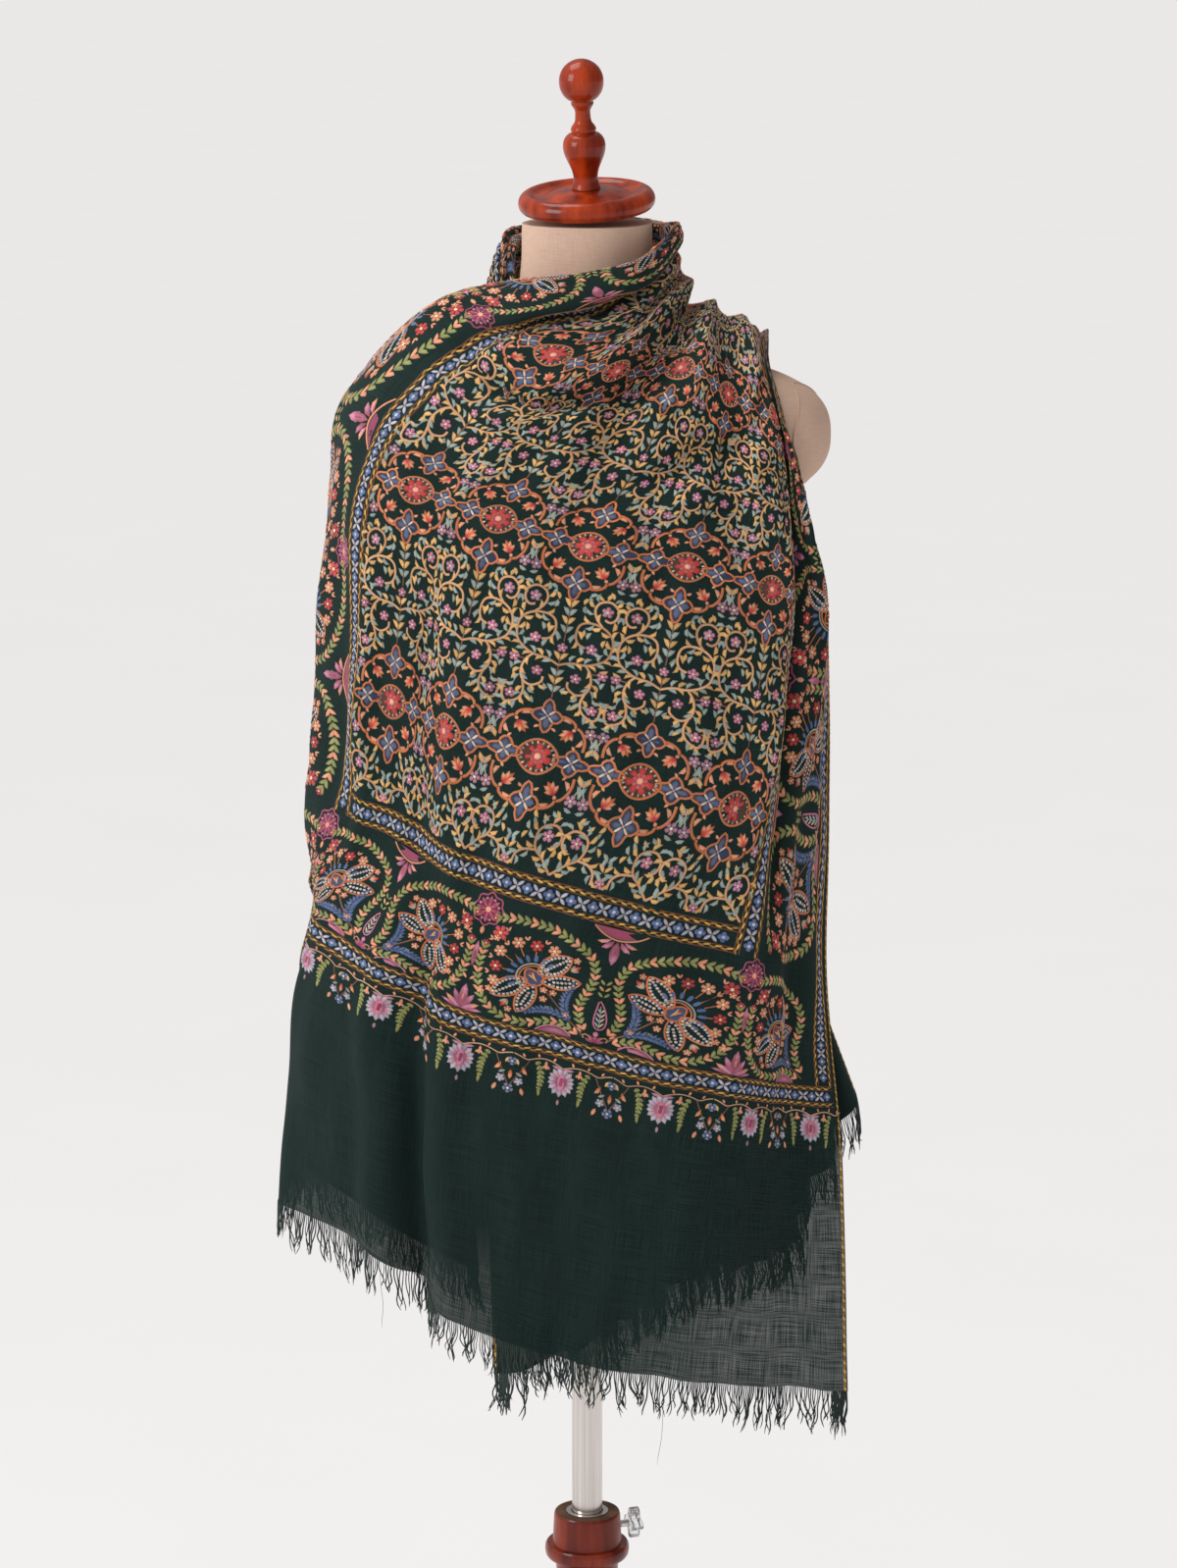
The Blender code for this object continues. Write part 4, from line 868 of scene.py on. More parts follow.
def lotus_spray():
    """Return the big lotus of a wide band cell, drawn about its own middle."""
    work = Needlework()
    for side in SIDES:
        work.place(lattice_petal(by_crown(5 * side, 1), by_crown(38 * side, 3), 17.5))
        work.place(lattice_petal(by_crown(3 * side, -6), by_crown(31 * side, -21), 14.0))
    tear = [by_crown(6.6 * sin(a) * (1.0 - 0.35 * cos(a)), 9.0 * cos(a) + 0.5)
            for a in around(14)]
    work.patch(tear, "blue", heart="navy", lift=0.5)
    work.cord(tear, 1.7, "rust", "tan", closed=True, lift=0.7)
    foot = by_crown(0, -6)
    for side in SIDES:
        work.lens(*foot, CROWN_TURN + 14 * side, 12, 3.4, "ochre", -0.1 * side, 0.95)
    work.lens(*foot, CROWN_TURN, 13.5, 3.4, "peach", tip="red", lift=1.1)
    for reach, thread, other in ((11.2, "rust", "tan"), (13.4, "sage", "cream")):
        arch = [by_crown(reach * sin(radians(a)), reach * cos(radians(a)))
                for a in range(-100, 101, 20)]
        work.cord(arch, 1.4, thread, other, lift=0.45)
    for a in range(-80, 81, 20):
        work.lens(*by_crown(14.6 * sin(radians(a)), 14.6 * cos(radians(a))), CROWN_TURN - a, 7.4,
                  4.2, "blue", stations=3, teeth=True, lift=0.5)
    for x, y, radius, thread, tip in (
            (-17.9, 28.9, 5.4, "peach", "peach"), (-3.6, 30.2, 5.4, "red", "red"),
            (10.5, 30.1, 5.2, "peach", "peach"), (-30, 17.2, 5.4, "peach", "peach"),
            (-30.5, 2.5, 5.4, "red", "red"), (-29.4, -11.3, 5.2, "peach", "peach"),
            (-34, 32.6, 6.8, "red", "rose")):
        out = np.array([x, y]) / np.hypot(x, y)
        work.cord([out * 21.0, (x, y) - out * radius], 1.0, "rust", "tan", smooth=False)
        work.flower(x, y, radius, thread, tip, petals=6)
    for x, y, turn in ((-11, 33, 110), (3.6, 33.6, 80), (-24.4, 24.6, 140), (-34.5, 9.6, 170),
                       (-34.6, -4.2, 195), (-27.5, 36.2, 110), (-38, 25.4, 170)):
        for off in (-28, 28):
            work.lens(x, y, turn + off, 4.6, 2.0, "peach", bend=0.1)
    for x, y, turn in ((26.4, 16.4, 40), (-15.6, -26.5, 245)):
        work.leaves((x, y, turn, 9.5, 4.4, "peach", 0.0, 0.6, "red"),
                    (x, y, turn - 30, 7.0, 2.6, "sage"), (x, y, turn + 30, 7.0, 2.6, "sage"))
    joint = np.array([34.2, -33.2])
    for aim, bend in (((32.7, 3.0), 0.16), ((-2.3, -36.0), -0.16)):
        along = aim - joint
        work.place(feather(*joint, turn_of(along), np.hypot(*along), 9.5, "blue", bend))
    work.cord([joint, (22, -21), (13, -12), (4, -6)], 1.5, "brown", "tan")
    for x, y in ((9.8, -9.6), (17.3, -10), (10.9, -18.5)):
        work.flower(x, y, 3.4, "peach", "rust")
    for x, y, turn in ((24.5, -16.5, 60), (17.5, -24.5, 210), (27.0, -21.5, 75),
                       (21.5, -28.5, 205), (14, -5.6, 55), (5.4, -15.6, 215)):
        work.lens(x, y, turn, 5.6, 2.4, "olive", tip="sage")
    work.cord([joint, (41, -38), (46.8, -44)], 1.6, "brown", "tan")
    return work


def garland(path):
    """Return a garland of leaf pairs, by turns peach and olive."""
    work = Needlework()
    spots = curve_through(path, 6.0)
    for k, ahead in enumerate(np.diff(spots, axis=0)):
        for side in SIDES:
            work.lens(*spots[k], turn_of(ahead) + 36 * side, 8.0, 3.7,
                      ("peach", "olive", "olive")[k % 3], -0.12 * side, 0.55)
    work.flower(*spots[-1], 3.6, "red", "magenta", petals=6)
    return work


def wide_cell():
    """Return one cell of the wide band, its base at the paisley boundary on its right."""
    work = Needlework()
    work.place(lotus_spray(), *LOTUS)
    for path in GARLANDS:
        work.place(garland(path))
    work.patch([(-47, 0.6), (-42, 4.6), (-34, 7.6), (-26, 7.0), (-20, 3.4), (-18, 0.6)],
               "rose", heart="pink", lift=0.5)
    work.cord([(-47, 0.8), (-42, 5.0), (-34, 8.2), (-26, 7.6), (-19, 2.4)], 1.2, "pink", "peach",
              lift=0.6)
    for x, y in ((-92, 78), (-88, 30), (-70, 14.5), (-26, 22), (-27, 78)):
        work.flower(x, y, 3.2, "peach", "orange")
    return work


def paisley_boundary():
    """Return the paisley, palmette and lily between two cells, worked from the outer guard."""
    work = Needlework()
    for turn in (20, 55, 90, 125, 160):
        work.lens(0, 3.0, turn, 8.5, 3.6, "magenta", tip="rose", lift=0.6)
    work.lens(0, 9.0, 90, 6.0, 5.0, "pink", lift=0.7)
    for side in SIDES:
        work.cord([(2 * side, 4), (6 * side, 9.5), (10 * side, 8.6), (9 * side, 5.2)], 1.2,
                  "peach", "tan")
        work.lens(11 * side, 10, 90 - 50 * side, 6.0, 2.6, "peach")
    outline = []
    for angle in around(18) - pi / 2:
        rise = 0.5 + 0.5 * sin(angle)
        outline.append((-1.5 + 6.2 * cos(angle) * (1.15 - 0.75 * rise) + 3.0 * rise ** 3,
                        16.8 + 29.5 * rise))
    work.cord(outline, 1.6, "pink", "magenta", closed=True, lift=0.5)
    for y, reach in ((19.5, 6.5), (24.5, 6.5), (29.5, 6.0), (34.5, 5.0)):
        work.leaves((-1.0, y, 54, reach, 2.0, "lilac"), (-1.0, y, 126, reach, 2.0, "cream"))
    work.cord([(-1.2, 18.5), (-1.0, 30), (0.2, 41)], 1.0, "sage", "olive")
    for side in SIDES:
        for y, thread in ((50, "olive"), (56, "ochre"), (62, "olive")):
            work.lens(0.5 * side, y, 90 - 44 * side, 6.4, 2.8, thread)
    work.patch([(-23, 113), (-14, 107.8), (-6, 105.4), (0, 104.6), (6, 105.4), (14, 107.8),
                (23, 113)], "rose", heart="magenta", centre=(0, 110))
    work.cord([(-22, 112.4), (-13, 106.6), (0, 103.4), (13, 106.6), (22, 112.4)], 1.4, "peach",
              "rust")
    work.leaves((0, 102.4, 270, 21.5, 8.4, "rose", 0.0, 0.7, "pink", 3),
                (0, 101.0, 270, 15.0, 2.6, "magenta", 0.0, 0.95))
    for side in SIDES:
        work.leaves(
            (2.5 * side, 102.5, 270 + 52 * side, 12.0, 5.0, "rose", -0.1 * side, 0.6, "pink"),
            (5 * side, 103.5, 270 + 74 * side, 12.0, 3.6, "pink", -0.1 * side, 0.55, "peach"))
    return work


def rosette_boundary():
    """Return the scalloped rosette and the lily between two cells, from the outer guard."""
    work = Needlework()
    middle = 99.0
    scallop = [(0, middle) + (13.2 + 1.3 * cos(8 * a)) * np.array((cos(a), sin(a)))
               for a in around(32)]
    work.cord(scallop, 1.6, "magenta", "pink", closed=True, step=2.6)
    for turn in range(0, 360, 45):
        work.leaves((0, middle, turn, 12.0, 5.0, "magenta", 0.0, 0.55, "rose", 3),
                    (0, middle, turn, 8.0, 1.8, "pink", 0.0, 0.8))
        work.disc(*((0, middle) + heading(turn + 22.5) * 9.4), 1.5, "pink", sides=5)
    work.disc(0, middle, 2.6, "peach", lift=0.9)
    work.lens(0, 84, 270, 8, 4.4, "peach", lift=0.6)
    for turn, reach, width, thread, tip in (
            (90, 25, 7.6, "rose", "pink"), (62, 19, 5.6, "rose", "pink"),
            (118, 19, 5.6, "rose", "pink"), (30, 17, 5.0, "pink", "peach"),
            (150, 17, 5.0, "pink", "peach"), (10, 18, 3.6, "rose", "pink"),
            (170, 18, 3.6, "rose", "pink")):
        work.lens(0, 1.0, turn, reach, width, thread, tip=tip, stations=3, lift=0.6)
    work.lens(0, 3, 90, 16, 2.8, "magenta", tip="peach", lift=0.95)
    for side in SIDES:
        work.flower(12.5 * side, 25, 3.6, "peach", "orange")
        work.lens(1.4 * side, 31, 90 - 40 * side, 6.5, 2.8, "peach")
    work.leaves((0, 44, 90, 26, 5.6, "rose", 0.0, 0.6, "pink", 3),
                (0, 47, 90, 18, 2.0, "magenta", 0.0, 0.9))
    return work


def pendant():
    """Return one lotus of the pendant row, which points away from the border."""
    work, half = Needlework(), Needlework()
    for k, turn in enumerate(range(-78, 270, 24)):
        work.lens(*((0, 21) + heading(turn) * 3.4), turn, 7.0 + 3.4 * sin(radians(turn)) ** 2,
                  4.8, ("mauve", "pink")[k % 2], tip="lilac", lift=0.55)
    work.patch([(6.4 * cos(a), 21.5 + 8.6 * sin(a)) for a in around(12)], "mauve", heart="rose",
               lift=0.7)
    work.leaves((0, 12, 90, 19, 8.4, "pink", 0.0, 0.95, None, 3),
                (0, 13.5, 90, 15, 5.6, "magenta", 0.0, 1.3),
                (0, 36.5, 90, 5.5, 2.6, "mauve", 0.0, 0.5),
                (0, 10, -10, 9.0, 3.4, "pink", 0.0, 0.5, "mauve"),
                (0, 10, 190, 9.0, 3.4, "pink", 0.0, 0.5, "mauve"))
    half.cord([(0, 9), (6, 6.2), (14, 4.5), (22, 6), (28, 8), (34, 5.4), (38.6, 4)], 1.1,
              "tan", "cream")
    half.place(feather(20.6, 8, 98, 27, 6.6, "olive", 0.10, spine="olive"))
    half.lens(13.4, 6, 90, 6.0, 2.6, "peach")
    for turn in (50, 90, 130):
        half.lens(13.0, 10, turn, 4.4, 2.4, "peach")
    for x, y, turn in ((8, 5, 250), (19, 4.6, 290), (30, 6, 300)):
        half.lens(x, y, turn, 4.2, 2.2, "peach")
    work.place_mirrored(half)
    return work


def pendant_cluster():
    """Return the small flower cluster between two pendants."""
    work, half = Needlework(), Needlework()
    half.cord([(13, 8), (9, 17), (5, 25), (1, 33)], 1.0, "brown", "tan")
    half.flower(7.0, 29.6, 3.8, "lilac", "blue")
    half.leaves((9.4, 35, 70, 7.0, 3.4, "peach", 0.0, 0.6),
                (8.4, 15.4, 60, 8.5, 3.6, "orange", 0.12, 0.35, "peach"),
                (4.0, 22.0, 30, 6.0, 2.6, "sage"), (3.0, 9.0, 70, 6.0, 2.6, "ochre"))
    work.place_mirrored(half)
    work.flower(0, 37, 4.2, "blue", "lilac")
    work.flower(0, 12, 4.0, "blue", "lilac")
    work.lens(0, 20, 90, 9, 3.4, "rust", tip="peach")
    return work


# Depth of the close pleats that take up the cloth where it is gathered: (along, depth).
GATHERS = ((0.0, 0.0), (1.05, 0.0), (1.12, 0.0060), (1.18, 0.0070), (1.26, 0.0060),
           (1.34, 0.0052), (1.42, 0.0058), (1.56, 0.0075), (1.70, 0.0095), (1.80, 0.0100),
           (1.92, 0.0098), (2.04, 0.0098))
GATHER_PLEATS = 15


# Where the cloth is drawn over the shoulder, in metres: it shifts sideways by up to DRAWN_SHIFT
# at the pitch of the ridges, and the shift fades in and out over these distances.
DRAWN_ALONG = (0.72, 0.84, 1.04, 1.14)
DRAWN_FROM_LEFT = (0.24, 0.32, 0.62, 0.70)
DRAWN_SHIFT, RIDGE_PLACE, RIDGE_PITCH = 0.0135, 0.374, 0.108
FADE = (0.0, 1.0, 1.0, 0.0)

# Small waves that a soft cloth keeps, in metres: (length across, length along, phase, height).
SOFT_WAVES = ((0.062, 0.31, 0.4, 0.0011), (0.041, -0.23, 1.9, 0.0008), (0.090, 0.12, 4.1, 0.0009),
              (0.027, 0.35, 2.7, 0.0004))


def gathered_surface(from_left, along):
    """Return the cloth with its width drawn out on the ridges and in at the troughs."""
    pull = np.interp(along, DRAWN_ALONG, FADE) * np.interp(from_left, DRAWN_FROM_LEFT, FADE)
    shift = DRAWN_SHIFT * pull * np.sin(2 * pi * (from_left - RIDGE_PLACE) / RIDGE_PITCH)
    return cloth_surface(from_left + shift, along)


class Cloth:
    """The draped cloth: a fine grid of places and outward directions."""

    def __init__(self):
        columns = int(round(CLOTH_WIDTH / CLOTH_STEP)) + 1
        rows = int(round(CLOTH_LENGTH / CLOTH_STEP)) + 1
        self.from_left, self.along = np.meshgrid(np.linspace(0.0, CLOTH_WIDTH, columns),
                                                 np.linspace(0.0, CLOTH_LENGTH, rows))
        flat = (self.from_left, self.along)
        self.spots = (gathered_surface(*flat)
                      + cloth_normals(gathered_surface, *flat) * soft_creases(*flat)[..., None])
        normal = np.cross(np.gradient(self.spots, axis=1), np.gradient(self.spots, axis=0))
        self.outward = normal / np.linalg.norm(normal, axis=2, keepdims=True)

    def read(self, grid, x, y):
        """Return a grid's values between its points, x and y in millimetres."""
        rows, columns = grid.shape[:2]
        u = np.clip(x / 1000.0 / CLOTH_WIDTH * (columns - 1), 0.0, columns - 1.0)
        v = np.clip(y / 1000.0 / CLOTH_LENGTH * (rows - 1), 0.0, rows - 1.0)
        i = np.minimum(u.astype(int), columns - 2)
        j = np.minimum(v.astype(int), rows - 2)
        a, b = (u - i)[:, None], (v - j)[:, None]
        return ((1 - a) * (1 - b) * grid[j, i] + a * (1 - b) * grid[j, i + 1]
                + (1 - a) * b * grid[j + 1, i] + a * b * grid[j + 1, i + 1])

    def carry(self, points):
        """Return where flat points with a lift, in millimetres, come to lie on the cloth."""
        x, y, lift = points[:, 0], points[:, 1], points[:, 2]
        outward = self.read(self.outward, x, y)
        outward /= np.linalg.norm(outward, axis=1, keepdims=True)
        return self.read(self.spots, x, y) + outward * (lift[:, None] / 1000.0)


def soft_creases(from_left, along):
    """Return the lift of the soft waves and of the close pleats, in metres."""
    wave = np.zeros_like(from_left)
    for across, onward, phase, height in SOFT_WAVES:
        wave += height * np.sin(2 * pi * (from_left / across + along / onward) + phase)
    wave *= np.clip(np.minimum(from_left, CLOTH_WIDTH - from_left) / 0.02, 0.2, 1.0)
    wave *= np.clip((0.95 - along) / 0.2, 0.15, 1.0)
    depth = np.interp(along, *np.array(GATHERS).T)
    place = from_left + 0.007 * np.sin(from_left * 31.0 + 1.0) + 0.010 * np.sin(along * 5.0)
    pleats = np.sin(2 * pi * GATHER_PLEATS * place / CLOTH_WIDTH)
    return wave + depth * pleats * (0.82 + 0.18 * np.sin(from_left * 23.0 + along * 3.0))


def add_object(name, data, material=None):
    """Add an object for a mesh, a light or a camera."""
    if material:
        data.materials.append(material)
    thing = bpy.data.objects.new(name, data)
    bpy.context.scene.collection.objects.link(thing)
    return thing


def add_mesh(name, points, faces, material):
    """Add an object for a smooth mesh of points and faces."""
    mesh = bpy.data.meshes.new(name)
    mesh.from_pydata(points, [], faces)
    mesh.update()
    mesh.shade_smooth()
    return add_object(name, mesh, material)


def srgb(red, green, blue):
    """Return a linear colour for sRGB values out of 255."""
    return tuple(value / 255 / 12.92 if value <= 10 else ((value / 255 + 0.055) / 1.055) ** 2.4
                 for value in (red, green, blue))


def add_needlework(name, work, cloth, seed, material):
    """Carry flat needlework onto the cloth and add it as one piece."""
    points, faces, threads, shapes, count = work.joined()
    thing = add_mesh(name, cloth.carry(points), faces, material)
    rng = np.random.default_rng(seed)
    tones = np.array([srgb(*colour) for colour in THREADS.values()])
    shade = np.clip(rng.normal(1.0, TONE_CHANGE, count), 0.7, 1.3)[shapes]
    warmth = rng.normal(0.0, WARMTH_CHANGE, count)[shapes]
    # Each point's colour gets painted shade at the stitch's low edges and a painted highlight on
    # its raised heart, by its lift, on top of a random tone and warmth for each shape.
    depth = np.clip(points[:, 2] / FULL_LIFT, 0.0, 1.0)
    colour = tones[threads] * (shade * (EDGE_PAINTED_SHADE + (HEART_PAINTED_HIGHLIGHT - EDGE_PAINTED_SHADE) * depth))[:, None]
    colour[:, 0] *= 1.0 + warmth
    colour[:, 2] *= 1.0 - warmth
    values = np.ones((len(points), 4))
    values[:, :3] = np.clip(colour, 0.0, 1.0)
    attribute = thing.data.attributes.new("thread", "FLOAT_COLOR", "POINT")
    attribute.data.foreach_set("color", values.ravel())
    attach(thing, BODY)


def field_needlework(rows):
    """Return the flower field for a range of medallion rows."""
    work = Needlework()
    flowers, vines, foot, buds = medallion(), vine(), foot_vine_half(), foot_buds()
    for row in rows:
        y = FIRST_ROW + ROW_PITCH * row
        for column in range(COLUMNS):
            x = FIRST_COLUMN + COLUMN_PITCH * column
            work.place(flowers, x, y)
            if row < ROWS - 1:
                work.place(vines, x, y + VINE_OFFSET)
            if row in (0, ROWS - 1):
                up = 1 if row == 0 else -1
                work.place(buds, x, y, up=(0, up))
                for side in SIDES:
                    work.place(foot, x + side * COLUMN_PITCH / 2, y - up * VINE_OFFSET,
                               right=(side, 0), up=(0, up))
    return work


def end_needlework(far):
    """Return the bands and pendants across one end of the cloth."""
    work, near = Needlework(), Needlework()
    for side, end in ((OUTER_BAND_SIDE, OUTER_BAND_END),
                      (INNER_BAND_SIDE + NARROW_BAND, INNER_BAND_END)):
        near.place(narrow_band(PATTERN_WIDTH - 2 * side), side, end)
    cell, paisley, rosette = wide_cell(), paisley_boundary(), rosette_boundary()
    middle = PATTERN_WIDTH / 2
    for side in (-1, 1):
        boundary = middle + side * CELL
        near.place_mirrored(cell, boundary, WIDE_BAND_END)
        near.place(paisley, boundary, WIDE_BAND_END, right=(-side, 0))
        near.place(cell, middle + side * 3 * CELL, WIDE_BAND_END, right=(side, 0))
        near.place(rosette, middle + side * 2 * CELL, WIDE_BAND_END)
    near.place(rosette, middle, WIDE_BAND_END)
    drop, cluster = pendant(), pendant_cluster()
    for k in range(-4, 5):
        x = PENDANT_MIDDLE + PENDANT_PITCH * k
        near.place(drop, x, OUTER_BAND_END, up=(0, -1))
        if k < 4:
            near.place(cluster, x + PENDANT_PITCH / 2, OUTER_BAND_END, up=(0, -1))
    if far:
        work.place(near, 0, PATTERN_LENGTH, up=(0, -1))
        return work
    return near


def side_needlework(right_side):
    """Return the bands along one long side of the cloth."""
    work = Needlework()
    cell, paisley, rosette = wide_cell(), paisley_boundary(), rosette_boundary()

    def lay(motif, from_side, y, along=1):
        x = PATTERN_WIDTH - from_side if right_side else from_side
        work.place(motif, x, y, right=(0, along), up=(-1 if right_side else 1, 0))

    lay(narrow_band(PATTERN_LENGTH - 2 * WIDE_BAND_END), OUTER_BAND_SIDE, WIDE_BAND_END)
    lay(narrow_band(PATTERN_LENGTH - 2 * INNER_BAND_END), INNER_BAND_SIDE, INNER_BAND_END)
    for k in range(1, SIDE_CELLS - 1):
        y = INNER_BAND_END + SIDE_CELL * k
        if k % 2:
            for along in SIDES:
                lay(cell, WIDE_BAND_SIDE, y, along)
            lay(paisley, WIDE_BAND_SIDE, y)
        else:
            lay(rosette, WIDE_BAND_SIDE, y)
    return work


def selvedge_needlework():
    """Return the gold cords worked along both long edges."""
    work = Needlework()
    for x in (2.4, PATTERN_WIDTH - 2.4):
        for k, y in enumerate(np.arange(2.0, PATTERN_LENGTH - 2.0, 3.6)):
            work.slant(x, y, (104, 76)[k % 2], 5.2, 2.4, ("gold", "old_gold")[k % 2], 0.6)
    return work


def eased_outline(profile, step):
    """Return a turned outline in metres with points at an even step along its curves."""
    table = np.array(profile) / 1000.0
    gone = np.concatenate([[0.0], np.cumsum(np.linalg.norm(np.diff(table, axis=0), axis=1))])
    wanted = np.unique(np.concatenate([gone, np.arange(0.0, gone[-1], step)]))
    outline = smooth_through(gone, table, wanted)
    return np.clip(outline, table.min(axis=0), table.max(axis=0))


def add_turned(name, outline, material, steps=96, place=None, sharp=40.0):
    """Add a piece spun about the upright axis from its outline, and attach it to the body."""
    bm = bmesh.new()
    verts = [bm.verts.new((radius, 0.0, height)) for radius, height in outline]
    edges = [bm.edges.new(pair) for pair in zip(verts, verts[1:])]
    if outline[0][0] > 1e-6:
        edges.append(bm.edges.new((verts[-1], verts[0])))
    bmesh.ops.spin(bm, geom=verts + edges, cent=(0, 0, 0), axis=(0, 0, 1), angle=2 * pi,
                   steps=steps, use_merge=True)
    bmesh.ops.remove_doubles(bm, verts=bm.verts, dist=0.00001)
    bmesh.ops.recalc_face_normals(bm, faces=bm.faces)
    if place is not None:
        bm.transform(place)
    return finish_hard(name, bm, material, sharp)


def finish_hard(name, bm, material, sharp=40.0):
    """Make an object of a bmesh, shade it, and attach it to the body."""
    mesh = bpy.data.meshes.new(name)
    bm.to_mesh(mesh)
    bm.free()
    mesh.shade_smooth()
    mesh.set_sharp_from_angle(angle=radians(sharp))
    thing = add_object(name, mesh, material)
    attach(thing, BODY)
    return thing


class Nodes:
    """Short calls for building a node tree."""

    def __init__(self, tree):
        self.tree = tree

    def fill(self, node, inputs):
        """Set a node's inputs, or link them to other nodes' outputs."""
        for name, value in dict(inputs).items():
            if isinstance(value, bpy.types.NodeSocket):
                self.tree.links.new(value, node.inputs[name])
            else:
                node.inputs[name].default_value = value
        return node

    def add(self, kind, inputs=(), **settings):
        """Add a node with its settings and inputs."""
        node = self.tree.nodes.new(kind)
        for name, value in settings.items():
            setattr(node, name, value)
        return self.fill(node, inputs)

    def place(self):
        """Return the place on the object, in metres."""
        return self.add("ShaderNodeTexCoord").outputs["Object"]

    def math(self, operation, first, second=0.0):
        """Return the result of a sum or other operation."""
        return self.add("ShaderNodeMath", {0: first, 1: second}, operation=operation).outputs[0]

    def mix(self, amount, first, second, blend="MIX"):
        """Return a mix of two colours."""
        return self.add("ShaderNodeMix", {0: amount, 6: first, 7: second}, data_type="RGBA",
                        blend_type=blend).outputs[2]

    def spread(self, value, low, high, to_low=0.0, to_high=1.0):
        """Return a value spread from one range to another, and held within it."""
        return self.add("ShaderNodeMapRange", {
            "Value": value, "From Min": low, "From Max": high, "To Min": to_low,
            "To Max": to_high}).outputs[0]

    def noise(self, vector, scale, detail=2.0, stretch=None, roughness=0.5):
        """Return soft noise at a place, drawn out where stretch is small."""
        if stretch is not None:
            vector = self.add("ShaderNodeMapping", {"Vector": vector, "Scale": stretch}).outputs[0]
        return self.add("ShaderNodeTexNoise", {
            "Vector": vector, "Scale": scale, "Detail": detail,
            "Roughness": roughness}).outputs["Fac"]

    def bump(self, height, strength, distance):
        """Return the direction of a surface roughened by a height."""
        return self.add("ShaderNodeBump", {
            "Height": height, "Strength": strength, "Distance": distance}).outputs[0]


def weave_group():
    """Return a node group for a loose plain weave, in the cloth's flat metres."""
    group = bpy.data.node_groups.new("plain_weave", "ShaderNodeTree")
    for name, kind, side in (
            ("Flat", "NodeSocketVector", "INPUT"), ("Thread", "NodeSocketFloat", "INPUT"),
            ("Height", "NodeSocketFloat", "OUTPUT"), ("Cover", "NodeSocketFloat", "OUTPUT"),
            ("Slub", "NodeSocketFloat", "OUTPUT")):
        group.interface.new_socket(name=name, in_out=side, socket_type=kind)
    group.interface.items_tree["Thread"].default_value = WEAVE_THREAD
    nodes = Nodes(group)
    inside = nodes.add("NodeGroupInput")
    flat = inside.outputs["Flat"]
    split = nodes.add("ShaderNodeSeparateXYZ", {0: flat})
    turns = nodes.math("DIVIDE", 2 * pi, inside.outputs["Thread"])
    warp, weft = (nodes.math("SINE", nodes.math("MULTIPLY", split.outputs[axis], turns))
                  for axis in (0, 1))
    slub_up, slub_across = (nodes.noise(flat, 1.0, stretch=stretch)
                            for stretch in ((1500.0, 34.0, 1.0), (28.0, 1300.0, 1.0)))
    slub = nodes.math("MULTIPLY", nodes.math("ADD", slub_up, slub_across), 0.5)
    crossing = nodes.math("MULTIPLY", nodes.math("MULTIPLY", warp, weft), 0.5)
    nodes.add("NodeGroupOutput", {
        "Height": nodes.math("ADD", crossing, nodes.math("MULTIPLY", slub, 1.6)),
        "Slub": slub, "Cover": nodes.spread(slub, 0.37, 0.59)})
    return group


def new_material(name):
    """Return a material, its nodes and its Principled node."""
    material = bpy.data.materials.new(name)
    material.use_nodes = True
    shader = material.node_tree.nodes["Principled BSDF"]
    return material, Nodes(material.node_tree), shader


def wool_material():
    """Dark green wool, thin enough to let a little light through."""
    material, nodes, shader = new_material("wool")
    flat = nodes.add("ShaderNodeUVMap", uv_map="flat").outputs[0]
    weave = nodes.add("ShaderNodeGroup", node_tree=weave_group())
    nodes.tree.links.new(flat, weave.inputs["Flat"])
    tone = nodes.mix(nodes.spread(weave.outputs["Slub"], 0.38, 0.62), (0.0052, 0.0150, 0.0128, 1),
                     (0.0118, 0.0310, 0.0262, 1))
    tone = nodes.mix(nodes.spread(nodes.noise(flat, 14.0, 3.0), 0.3, 0.7, 0.0, 0.35), tone,
                     (0.010, 0.021, 0.019, 1))
    split = nodes.add("ShaderNodeSeparateXYZ", {0: flat})
    beside = nodes.math("MULTIPLY", nodes.spread(split.outputs[0], 0.47, 0.60),
                        nodes.spread(split.outputs[1], 0.26, 0.20))
    below = nodes.spread(split.outputs[1], 0.085, 0.02, 0.0, 0.6)
    least = nodes.spread(nodes.math("MAXIMUM", beside, below), 0.0, 1.0, 0.9985, 0.845)
    open_part = nodes.math("MULTIPLY", nodes.math("SUBTRACT", WOOL_ALPHA, least),
                           nodes.math("SUBTRACT", 1.0, weave.outputs["Cover"]))
    nodes.fill(shader, {
        "Base Color": tone, "Alpha": nodes.math("SUBTRACT", WOOL_ALPHA, open_part),
        "Roughness": 0.82, "Specular IOR Level": 0.15, "Sheen Weight": 0.03,
        "Sheen Roughness": 0.4, "Sheen Tint": (0.55, 0.72, 0.66, 1.0),
        "Normal": nodes.bump(weave.outputs["Height"], 0.35, 0.0004)})
    return material


def thread_material():
    """Embroidery thread, in the colour that each stitch carries."""
    material, nodes, shader = new_material("embroidery_thread")
    colour = nodes.add("ShaderNodeAttribute", attribute_name="thread").outputs["Color"]
    strands = nodes.noise(nodes.place(), 1.0, stretch=(1500.0, 1500.0, 900.0), roughness=0.6)
    shade = nodes.spread(strands, 0.25, 0.75, 0.72, 1.16)
    grey = nodes.add("ShaderNodeCombineColor", {0: shade, 1: shade, 2: shade}).outputs[0]
    nodes.fill(shader, {
        "Base Color": nodes.mix(1.0, colour, grey, blend="MULTIPLY"), "Roughness": 0.62,
        "Specular IOR Level": 0.3, "Sheen Weight": 0.12,
        "Normal": nodes.bump(strands, 0.5, 0.0004)})
    return material


